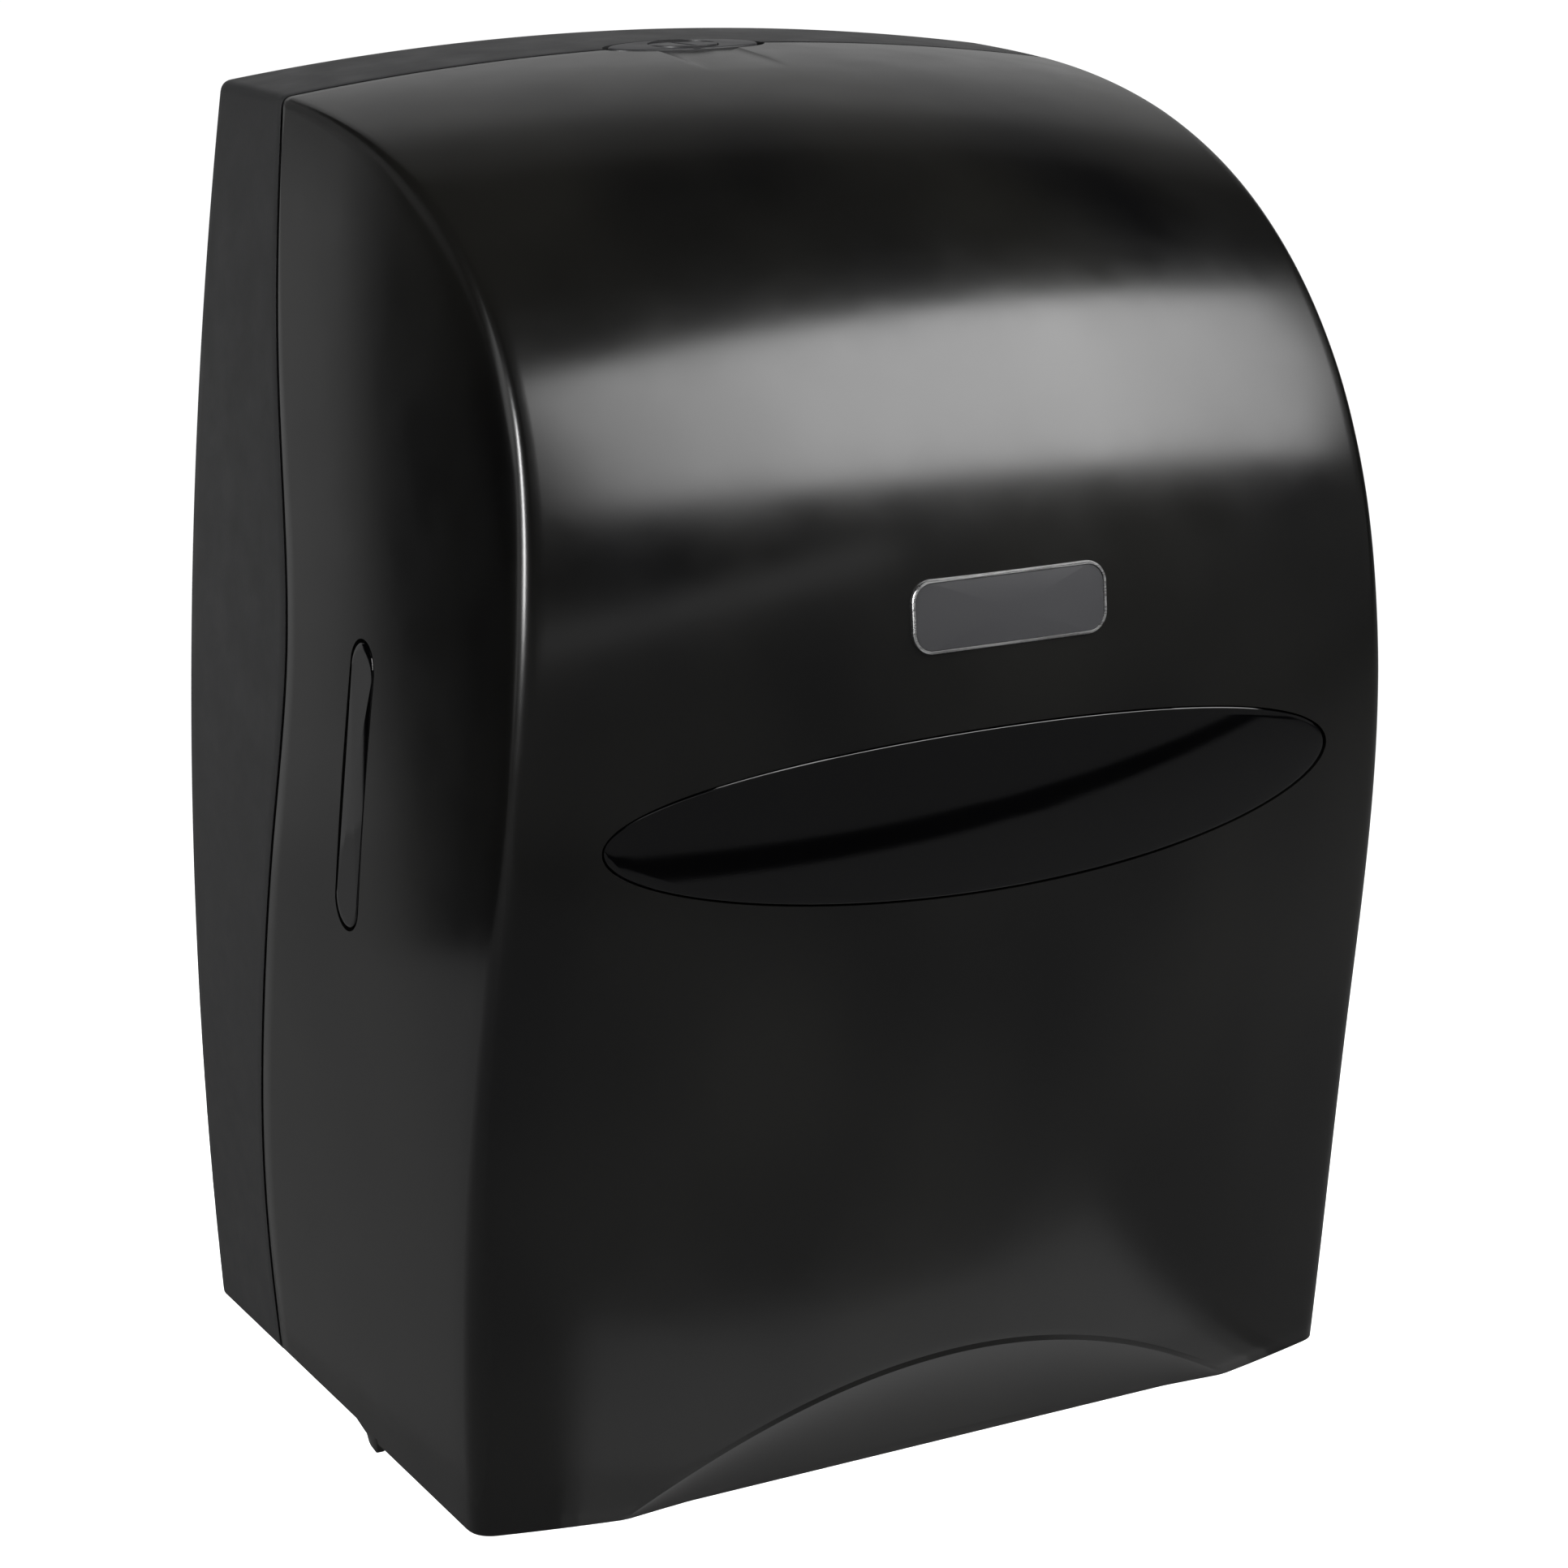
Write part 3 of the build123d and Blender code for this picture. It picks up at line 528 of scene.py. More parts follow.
def prism(name: str, outline: Array, place: Callable[[Array, float], Array], low: float,
          high: float) -> Piece:
    """Makes a straight prism.

    Args:
        name: name of the object.
        outline: closed outline, as pairs in millimetres.
        place: turns the outline and a height into points in millimetres.
        low: lower end.
        high: upper end.

    Returns:
        The prism, its faces outwards.
    """
    count = len(outline)
    points = np.concatenate([place(outline, low), place(outline, high)]) * MM
    faces = [tuple(range(count)), tuple(range(2 * count - 1, count - 1, -1))]
    piece = new_object(name, points, faces + ring_faces(2, count))
    tidy(piece, outward=True)
    return piece


def spots(*parts: Array | float) -> Array:
    """Returns points from their coordinates, where a single number stands for the same one at all of them."""
    return np.stack(np.broadcast_arrays(*parts), axis=-1)


def oval(width: float, height: float, count: int = 144) -> Array:
    """Returns the outline of an ellipse about the origin."""
    turn = np.linspace(0, 2 * np.pi, count, endpoint=False)
    return spots(np.cos(turn) * width / 2, np.sin(turn) * height / 2)


def rounded_bar(length: float, width: float, corner: float, count: int = 16) -> Array:
    """Returns the outline of a bar with round corners about the origin, count points to each corner."""
    turn = np.linspace(0, np.pi / 2, count)
    arc = spots(np.cos(turn), np.sin(turn)) * corner
    reach = np.array([length / 2 - corner, width / 2 - corner])
    first = arc + reach
    second = arc[::-1] * (-1, 1) + reach * (-1, 1)
    outline = np.concatenate([first, second, -first, -second])
    keep = np.linalg.norm(outline - np.roll(outline, 1, axis=0), axis=1) > 1e-6
    return outline[keep]


class SmoothLine:
    """Natural cubic line through points in a plane, spaced by their chords."""

    def __init__(self, points: Sequence[tuple[float, float]]) -> None:
        """Works out the line's bends.

        Args:
            points: points that it passes through.
        """
        self.points = np.array(points, float)
        steps = np.linalg.norm(np.diff(self.points, axis=0), axis=1)
        self.knots = np.concatenate([[0.0], np.cumsum(steps)]) / steps.sum()
        gaps = np.diff(self.knots)
        count = len(self.points)
        matrix = np.eye(count)
        right = np.zeros((count, 2))
        slopes = np.diff(self.points, axis=0) / gaps[:, None]
        for i in range(1, count - 1):
            matrix[i, i - 1:i + 2] = gaps[i - 1], 2 * (gaps[i - 1] + gaps[i]), gaps[i]
            right[i] = 6 * (slopes[i] - slopes[i - 1])
        self.bends = np.linalg.solve(matrix, right)

    def at(self, share: Array) -> Array:
        """Returns the points at shares of the way along, from 0 to 1."""
        share = np.clip(np.asarray(share, float), 0, 1)
        span = np.clip(np.searchsorted(self.knots, share) - 1, 0, len(self.knots) - 2)
        gap = (self.knots[span + 1] - self.knots[span])[..., None]
        ahead = (self.knots[span + 1][..., None] - share[..., None]) / gap
        behind = 1 - ahead
        bend = (ahead ** 3 - ahead) * self.bends[span] + (behind ** 3 - behind) * self.bends[span + 1]
        return ahead * self.points[span] + behind * self.points[span + 1] + bend * gap ** 2 / 6


@dataclass
class BodyShape:
    """Outer form of the closed body in millimetres: bowed front, arched top and tapering sides."""

    height: float = 410.0
    bottom_width: float = 317.4
    middle_width: float = 313.6
    middle_height: float = 200.0
    top_width: float = 267.6
    side_taper: float = 4.0
    arch_rise: float = 10.0
    front_bow: float = 20.0
    belly_depth: float = 235.8
    shoulder: tuple = ((0, 195), (75, 190), (131, 179), (186, 153.5), (221, 113))
    belly: tuple = ((235.8, 44), (217, -92.4), (202, -205))
    seam: tuple = ((51, -205), (49.5, -146), (57, -87), (69, -27), (79, 33), (64, 112), (50, 195))
    top_seam: float = 50.0
    seam_gap: float = 1.8
    rim_slant: float = 3.5
    wall: float = 3.0
    scoop_lip: float = 209.0
    scoop_lean: float = 0.4

    def __post_init__(self) -> None:
        """Works out the lines that the surfaces follow."""
        self.low = -self.height / 2
        self.draft = math.tan(math.radians(self.side_taper))
        self.profile = SmoothLine((*self.shoulder, *self.belly))
        self.shares = np.linspace(0, 1, 4000)
        self.depths, self.heights = self.profile.at(self.shares).T
        seam = SmoothLine(self.seam).at(np.linspace(0, 1, 400))
        self.seam_heights, self.seam_depths = seam[:, 1], seam[:, 0]
        start, middle, end = (
            complex(self.bottom_width / 2, self.low),
            complex(self.middle_width / 2, self.low + self.middle_height),
            complex(self.top_width / 2, self.height / 2 - self.arch_rise),
        )
        turn = (end - start) / (middle - start)
        centre = (start - middle) * (turn - abs(turn) ** 2) / (2j * turn.imag) - start
        self.side_centre = -centre
        self.side_radius = abs(start + centre)

    def stretch(self, x: Array, inset: float) -> tuple[Array, Array]:
        """Returns how much the profile stretches in depth and height at x."""
        crown = 1 - (2 * x / self.top_width) ** 2
        return (
            1 + (self.front_bow * crown - inset) / self.belly_depth,
            1 + (self.arch_rise * crown - inset) / (self.height - self.arch_rise),
        )

    def front(self, share: Array, x: Array, inset: float = 0) -> tuple[Array, Array]:
        """Returns Y and Z on the top and front.

        Args:
            share: how far along the profile, from the wall over the top to the foot.
            x: place across.
            inset: distance inside the outer surface.
        """
        deep, tall = self.stretch(x, inset)
        depth = np.interp(share, self.shares, self.depths)
        height = np.interp(share, self.shares, self.heights)
        return -depth * deep, self.low + (height - self.low) * tall

    def front_y(self, x: Array, z: Array, inset: float = 0) -> Array:
        """Returns Y of the front at x and z, inset from the outer surface."""
        deep, tall = self.stretch(x, inset)
        return -np.interp(self.low + (z - self.low) / tall, self.heights[::-1], self.depths[::-1]) * deep

    def half_width(self, z: Array, y: Array, inset: float = 0) -> Array:
        """Returns X of the right side at z and y, inset from the outer surface."""
        rise = np.asarray(z, float) - self.side_centre.imag
        return self.side_centre.real + np.sqrt(self.side_radius ** 2 - rise ** 2) + self.draft * y - inset

    def seam_depth(self, z: Array) -> Array:
        """Returns the seam's depth at height z."""
        return np.interp(z, self.seam_heights, self.seam_depths)

    def rim(self, inset: float) -> float:
        """Returns how far ahead of the seam the cover's rim starts; it slants away inside."""
        return self.seam_gap + (self.rim_slant if inset else 0.0)

    def share_at_depth(self, depth: float | Array, x: Array, inset: float = 0) -> Array:
        """Returns how far along the profile the top reaches a depth at x."""
        deep, _ = self.stretch(x, inset)
        last = int(np.argmax(self.depths))
        return np.interp(depth / deep, self.depths[:last], self.shares[:last])

    def top_z(self, x: Array, y: Array) -> Array:
        """Returns Z of the top at x and y."""
        return self.front(self.share_at_depth(-y, x), x)[1]

    def scoop_y(self, z: Array, inset: float = 0) -> Array:
        """Returns Y of the crescent scoop's slanted face at z."""
        lip = self.scoop_lip - inset * math.hypot(1, self.scoop_lean)
        return -lip - self.scoop_lean * (z - self.low)


SHAPE = BodyShape()


def corner_arc(side: Array, corner: Array, front: Array, steps: int) -> Array:
    """Rounds a row of corners.

    Args:
        side: where each rounding leaves the side.
        corner: the sharp corners.
        front: where each rounding meets the front.
        steps: points across the rounding, between its ends.

    Returns:
        Array of shape rows, steps, 3.
    """
    share = np.linspace(0, 1, steps + 2)[1:-1][None, :, None]
    side, corner, front = side[:, None], corner[:, None], front[:, None]
    return (1 - share) ** 2 * side + 2 * share * (1 - share) * corner + share ** 2 * front


@dataclass
class SubAssembly:
    """Shared work of the sub-assemblies: dressing, riding and reporting their pieces."""

    made: list[str] = field(default_factory=list, init=False)

    def attach(self, piece: Piece, body: Body, slot: str, *nodes: str,
               bend: tuple[Body, Vector, Vector] | None = None) -> Piece:
        """Finishes a piece: gives it its slot's material, sets it on its body and hides the nodes that it stands for.

        Args:
            piece: the finished mesh.
            body: what it rides on.
            slot: the record's slot of its finish.
            nodes: nodes of the model that it replaces.
            bend: for a spring, another body and where its bend starts and ends; these are not used, and a piece given
                one is set on no body but has its place baked into its mesh.

        Returns:
            The piece.
        """
        piece.data.materials.clear()
        piece.data.materials.append(PAINTS.material(slot))
        if bend is None:
            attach(piece, body.value)
        else:
            other, start, end = bend
            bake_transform(piece)
            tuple(start)
            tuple(end)
        if nodes:
            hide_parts(*nodes)
        self.made.append(piece.name)
        log.info("%s: %d faces on %s", piece.name, len(piece.data.polygons), body.value)
        return piece

    def dress(self, node: str, body: Body, edge: float, slot: str | None = None,
              bend: tuple[Body, Vector, Vector] | None = None) -> Piece:
        """Stands a merged copy with softened edges in a node's place.

        Args:
            node: node of the model.
            body: what it rides on.
            edge: size of the edge rounding in millimetres.
            slot: the record's slot of its finish, if not the node's own.
            bend: for a spring, another body, which is not used, and where its bend starts and ends; the piece is
                divided across between these.

        Returns:
            The dressed copy.
        """
        source = frame["nodes"][node].data
        points = np.empty(len(source.vertices) * 3, np.float32)
        source.vertices.foreach_get("co", points)
        piece = new_object(node + "_dressed", points, [tuple(face.vertices) for face in source.polygons])
        with editing(piece) as work:
            bmesh.ops.remove_doubles(work, verts=work.verts, dist=1e-6)
            bmesh.ops.dissolve_limit(work, angle_limit=math.radians(0.4), verts=work.verts, edges=work.edges)
        round_edges(piece, edge)
        if bend is not None:
            score(piece, *bend[1:])
        smooth(piece, 32.0)
        return self.attach(piece, body, slot or PAINTS.slot_of(node), node, bend=bend)

    def dress_all(self, body: Body, edge: float, *nodes: str) -> None:
        """Dresses nodes that ride on one body and share an edge rounding in millimetres."""
        for node in nodes:
            self.dress(node, body, edge)


@dataclass
class FrontCover(SubAssembly):
    """Bowed smoke cover with its window opening, side slots, crescent scoop and thumb scoop."""

    front_columns: int = 104
    side_columns: int = 22
    rows: int = 180
    scoop_steps: tuple = (
        0.012, 0.024, 0.036, 0.08, 0.15, 0.24, 0.34, 0.45, 0.56, 0.67, 0.78, 0.86, 0.91, 0.925, 0.96, 1.0,
    )
    scoop_hollow: float = 1.7
    side_reach: float = 170.0
    scoop_first: float = 0.75
    scoop_last: float = 0.9978
    scoop_fade: tuple = (1.3, 12.0)
    arch_step: float = 1.2
    arch_run: float = 0.036
    groove_rows: tuple = (0.9966, 0.9969, 1.0)
    groove_depths: tuple = (0.0, 0.34, -0.24)
    lip_step: float = 0.7
    lip_place: tuple = (0.91, 0.015)
    arc_steps: int = 6
    crease: tuple = (
        (0.0, 2.6, 2.6), (0.15, 2.8, 3.5), (0.22, 3.4, 10.0), (0.28, 4.0, 14.0), (0.36, 4.5, 15.0),
        (0.45, 5.0, 9.0), (0.55, 5.5, 6.0), (1.0, 6.0, 6.5),
    )
    corner_drop: float = 14.0
    thumb_half: float = 13.5
    thumb_depth: float = 0.6
    thumb_span: tuple = (-63.0, -98.0)
    thumb_edge: float = 1.2
    thumb_level: float = 0.7
    thumb_last: float = 0.6
    edge_lift: float = 2.0
    lift_start: float = -119.5
    lift_run: float = 3.0
    lift_height: float = 30.0
    first_half: float = 130.0
    fit_rounds: int = 40
    hinge: tuple = (-124.0, -198.5)
    boss_path: tuple = (
        (0.0, 144.6), (2.56, 144.6), (2.56, 137.0), (5.6, 137.0), (6.0, 137.4), (6.0, 147.6), (0.0, 147.6),
    )
    nub_span: tuple = (147.3, 149.9)
    nub_outline: tuple = (
        (-115.5, -203.5), (-117.5, -204.6), (-120.5, -208.0), (-122.0, -208.6), (-127.0, -208.8),
        (-128.3, -208.2), (-128.6, -203.5),
    )
    ridge: tuple = (-0.10659, -0.10251, 0.10251, 0.10659)
    inner_crease: float = 0.6
    notch: tuple = (54.6, 27.6)
    window_reach: tuple = (-290.0, -180.0)

    def scoop_table(self, inset: float) -> tuple[Array, Array]:
        """Returns places across and the share of the profile where the scoop starts at each."""
        across = np.linspace(0, self.side_reach, 341)
        shares = np.linspace(self.scoop_first, 1, 600)
        y, z = SHAPE.front(shares[:, None], across[None, :], inset)
        ahead = SHAPE.scoop_y(z, inset) - y
        first = np.argmax(ahead > 0, axis=0)
        start = np.full(len(across), 1.0)
        for i, row in enumerate(first):
            if row > 0:
                low, high = ahead[row - 1, i], ahead[row, i]
                start[i] = shares[row - 1] + (shares[row] - shares[row - 1]) * low / (low - high)
        return across, np.minimum(start, self.scoop_last)

    def skin(self, row: Array, x: Array, inset: float) -> tuple[Array, Array]:
        """Returns Y and Z of the cover's top and front.

        Args:
            row: 0 to 1 from the seam to the scoop's edge, 1 to 2 down the scoop's face.
            x: place across.
            inset: distance inside the outer surface.
        """
        start = SHAPE.share_at_depth(SHAPE.top_seam + SHAPE.rim(inset), x, inset)
        end = np.interp(np.abs(x), *self.table)
        y, z = SHAPE.front(start + (end - start) * np.minimum(row, 1), x, inset)
        foot, _ = SHAPE.front(np.ones_like(x), x, inset)
        lip = np.maximum(foot, SHAPE.scoop_y(SHAPE.low, inset))
        down = np.clip(row - 1, 0, 1)
        (clear, fade), (lip_start, lip_run) = self.scoop_fade, self.lip_place
        tall = np.clip((z - SHAPE.low - clear) / fade, 0, 1)
        step = self.arch_step * np.clip(down / self.arch_run, 0, 1)
        step = step + self.lip_step * np.clip((down - lip_start) / lip_run, 0, 1)
        if not inset:
            step = step + np.interp(row, self.groove_rows, self.groove_depths)
        return y + (lip - y) * (1 - (1 - down) ** self.scoop_hollow) + tall * step, z + (SHAPE.low - z) * down

    def sheet(self, inset: float) -> Array:
        """Returns the cover's surface as a grid of points, from the left seam to the right one.

        Args:
            inset: distance inside the outer surface.
        """
        self.table = self.scoop_table(inset)
        row = np.concatenate(
            [np.linspace(0, self.groove_rows[0], self.rows), self.groove_rows[1:], 1 + np.array(self.scoop_steps)],
        )
        edge = np.full_like(row, self.first_half)
        for _ in range(self.fit_rounds):
            y, z = self.skin(row, edge, inset)
            edge = SHAPE.half_width(z, y, inset)
        corner = spots(edge, y, z)
        stations, fronts, flanks = zip(*self.crease)
        sharper = self.inner_crease if inset else 1
        radius, roll = (np.interp(row, stations, sizes) * sharper for sizes in (fronts, flanks))
        columns = np.sort(np.concatenate([np.linspace(-1, 1, self.front_columns), self.ridge]))
        x = columns[None, :] * (edge - radius)[:, None]
        y, z = self.skin(np.broadcast_to(row[:, None], x.shape), x, inset)
        back, ahead = self.thumb_span
        along = np.clip((y - ahead) / (back - ahead), 0, 1)
        dip = np.clip((self.thumb_half - np.abs(x)) / self.thumb_edge, 0, 1) * along
        dip = dip * (self.thumb_level + (1 - self.thumb_level) * (x / self.thumb_half) ** 2)
        front = spots(x, y, z - self.thumb_depth * dip * (row[:, None] < self.thumb_last))
        steps = np.linalg.norm(np.diff(corner, axis=0), axis=1)
        share = np.concatenate([[0], np.cumsum(steps)]) / steps.sum()
        seam_z = corner[0, 2] - self.corner_drop + (SHAPE.low - corner[0, 2] + self.corner_drop) * share
        seam = spots(-(SHAPE.seam_depth(seam_z) + SHAPE.rim(inset)), seam_z)
        run = np.linalg.norm(seam - corner[:, 1:], axis=1)
        start = corner[:, 1:] + (seam - corner[:, 1:]) * np.minimum(roll / run, 0.5)[:, None]
        along = np.linspace(0, 1, self.side_columns)[None, :, None]
        y, z = np.moveaxis(seam[:, None] + (start - seam)[:, None] * along, -1, 0)
        lift = SHAPE.low + self.edge_lift * np.clip((y - self.lift_start) / self.lift_run, 0, 1)
        top = SHAPE.low + self.lift_height
        z = np.where(z < top, lift + (z - SHAPE.low) * (top - lift) / (top - SHAPE.low), z)
        flank = spots(SHAPE.half_width(z, y, inset), y, z)
        arc = corner_arc(flank[:, -1], corner, front[:, -1], self.arc_steps)
        return np.concatenate([flank * MIRROR, arc * MIRROR, front, arc[:, ::-1], flank[:, ::-1]], axis=1)

    def shell(self) -> Piece:
        """Returns the closed shell before its openings are cut."""
        outer, inner = self.sheet(0.0), self.sheet(SHAPE.wall)
        rows, columns, _ = outer.shape
        count = rows * columns
        points = np.concatenate([outer.reshape(-1, 3), inner.reshape(-1, 3)]) * MM
        faces = grid_faces(rows, columns, 0, True) + grid_faces(rows, columns, count)
        grid = np.arange(count).reshape(rows, columns)
        rim = np.concatenate([grid[0, :-1], grid[:-1, -1], grid[-1, :0:-1], grid[:0:-1, 0]])
        for here, there in zip(rim, np.roll(rim, -1)):
            faces.append((here, there, there + count, here + count))
        piece = new_object("cover_shell", points, faces)
        tidy(piece, 1e-6, outward=True)
        round_edges(piece, 0.45, 60.0)
        return piece

    def tools(self) -> Piece:
        """Returns the volumes that cut the window, the side slots and the lock's notch."""
        strips = SightStrips()
        window = prism("window_cut", oval(*strips.window, 200), square_to(1, (0, strips.window_z)), *self.window_reach)
        slots = prism("slot_cut", strips.outline(0.0), square_to(0), -self.side_reach, self.side_reach)
        notch = prism("notch_cut", oval(*self.notch, 120), square_to(2, (0, LockSet.y)), *LockSet.notch_span)
        return join("cover_cuts", [window, slots, notch])

    def bosses(self) -> list[Piece]:
        """Returns the two hinge bosses inside the cover's lower edge."""
        circle = oval(2, 2, 48)
        pieces = []
        for side in Side:
            rings = [np.insert(self.hinge + radius * circle, 0, side.value * x, axis=1) for radius, x in self.boss_path]
            piece = new_object("boss", np.concatenate(rings) * MM, ring_faces(len(rings), len(circle)))
            tidy(piece, outward=True)
            pieces.append(piece)
        return pieces

    def nubs(self) -> list[Piece]:
        """Returns the small nubs under the cover's lower side edges, below the hinge."""
        pieces = []
        for side in Side:
            nub = prism("nub", np.array(self.nub_outline), square_to(0), *sorted(side.value * x for x in self.nub_span))
            round_edges(nub, 0.4, 50.0)
            pieces.append(nub)
        return pieces

    def build(self) -> None:
        """Builds the cover and its catch."""
        shell = self.shell()
        cut(shell, self.tools())
        cover = join("cover_moulding", [shell, *self.bosses(), *self.nubs()])
        smooth(cover, 24.0)
        self.attach(cover, Body.COVER, "cover_smoke", "front_cover")
        self.dress("cover_catch", Body.COVER, 0.4)


def plaque(name: str, outline: Array, path: Sequence[tuple[float, float]],
           lift: Callable[[Array, float], Array]) -> Piece:
    """Makes a closed plate that follows a curved surface.

    Args:
        name: name of the object.
        outline: outline about the origin, as pairs in millimetres.
        path: size as a share of the outline's, and inset from the surface, ring by ring.
        lift: turns a ring's pairs and inset into points in millimetres.

    Returns:
        The plate.
    """
    rings = [lift(outline * scale, inset) for scale, inset in path]
    piece = new_object(name, np.concatenate(rings) * MM, ring_faces(len(rings), len(outline)))
    tidy(piece, 1e-6, outward=True)
    smooth(piece, 40.0)
    return piece


def on_front(height: float) -> Callable[[Array, float], Array]:
    """Returns a plaque's lift that puts its rings on the body's front, about a height."""
    def lift(flat: Array, inset: float) -> Array:
        """Puts a ring on the front, inset from its surface."""
        x, z = flat[:, 0], flat[:, 1] + height
        return spots(x, SHAPE.front_y(x, z, inset), z)

    return lift


@dataclass
class SightStrips(SubAssembly):
    """Oval sight window in the front and a slanted sight strip in each side."""

    window: tuple = (230.0, 49.0)
    window_z: float = 6.0
    window_seat: float = 0.5
    window_recess: float = 0.15
    strip_seat: float = 1.1
    strip_recess: float = 0.0
    strip_width: float = 17.0
    strip_top: tuple = (-136.3, 38.8)
    strip_foot: tuple = (-126.8, -32.7)
    lens_edge: tuple = ((0.99, 0.06), (0.997, 0.22), (1.0, 0.6))
    lens_depth: float = 2.9
    flange: tuple = (3.15, 4.0)
    flange_width: float = 2.5

    def outline(self, gap: float) -> Array:
        """Returns a strip's outline in Y and Z, smaller by gap all round."""
        top, foot = np.array(self.strip_top), np.array(self.strip_foot)
        along = (top - foot) / np.linalg.norm(top - foot)
        across = np.array([-along[1], along[0]])
        length = np.linalg.norm(top - foot) + self.strip_width - 2 * gap
        bar = rounded_bar(length, self.strip_width - 2 * gap, self.strip_width / 2 - gap, 24)
        return (top + foot) / 2 + bar[:, :1] * along + bar[:, 1:] * across

    def path(self, recess: float) -> list[tuple[float, float]]:
        """Returns the ring path of a lens with a soft edge, set in by the recess."""
        flat = [(share, recess) for share in np.linspace(0, 0.98, 22)]
        edge = [(share, recess + drop) for share, drop in self.lens_edge]
        return flat + edge + [(share, self.lens_depth) for share in (1.0, 0.6, 0.0)]

    def build(self) -> None:
        """Builds the window and both strips."""
        size = [part - 2 * self.window_seat for part in self.window]
        window = plaque(
            "sight_window_lens", oval(*size, 200), self.path(self.window_recess), on_front(self.window_z),
        )
        self.attach(window, Body.COVER, "window_smoke", "sight_window")
        outline = self.outline(self.strip_seat)
        middle = outline.mean(axis=0)
        for side in Side:
            def lift(flat: Array, inset: float, sign: int = side.value) -> Array:
                """Puts a ring on one side of the body."""
                y, z = flat[:, 0] + middle[0], flat[:, 1] + middle[1]
                return spots(sign * SHAPE.half_width(z, y, inset), y, z)

            name = f"{side.name.lower()}_sight_strip"
            strip = plaque("lens", outline - middle, self.path(self.strip_recess), lift)
            near, far = self.flange
            path = [(share, near) for share in np.linspace(0, 1, 9)] + [(1.0, far), (0.0, far)]
            flange = plaque("flange", self.outline(-self.flange_width) - middle, path, lift)
            self.attach(join(name + "_lens", [strip, flange]), Body.COVER, "window_smoke", name)


@dataclass
class BadgePlate(SubAssembly):
    """Plain plate with round corners and a fine bright rim on the upper front, left bare."""

    size: tuple = (60.0, 20.0)
    corner: float = 6.0
    thickness: float = 1.2
    rim: float = 0.9
    rim_round: float = 0.2
    rim_slope: float = 0.15
    sunk: float = 0.3
    seat: float = 0.02
    z: float = 63.0

    def outline(self, gap: float) -> Array:
        """Returns the plate's outline, smaller by gap all round."""
        return rounded_bar(self.size[0] - 2 * gap, self.size[1] - 2 * gap, self.corner - gap, 14)

    def frame(self) -> Piece:
        """Returns the rim round the plate's edge."""
        top, low, bend = -self.thickness, -self.thickness / 2, self.rim_round
        path = (
            (0.0, 0.0), (0.0, top + bend), (bend, top), (self.rim - self.rim_slope, top), (self.rim, low),
            (self.rim, 0.0),
        )
        lift = on_front(self.z)
        rings = [lift(self.outline(gap), inset) for gap, inset in path]
        piece = new_object("badge_rim", np.concatenate(rings) * MM, ring_faces(len(rings), len(rings[0]), True))
        tidy(piece, 1e-6, outward=True)
        smooth(piece, 40.0)
        return piece

    def build(self) -> None:
        """Builds the plate and its rim."""
        face = -self.thickness + self.sunk
        path = [(share, face) for share in np.linspace(0, 0.96, 12)] + [(1.0, face), (1.0, 0.0), (0.0, 0.0)]
        plate = plaque("badge_plate_bare", self.outline(self.rim + self.seat), path, on_front(self.z))
        self.attach(plate, Body.COVER, "badge_satin", "badge_plate")
        self.attach(self.frame(), Body.COVER, "steel")


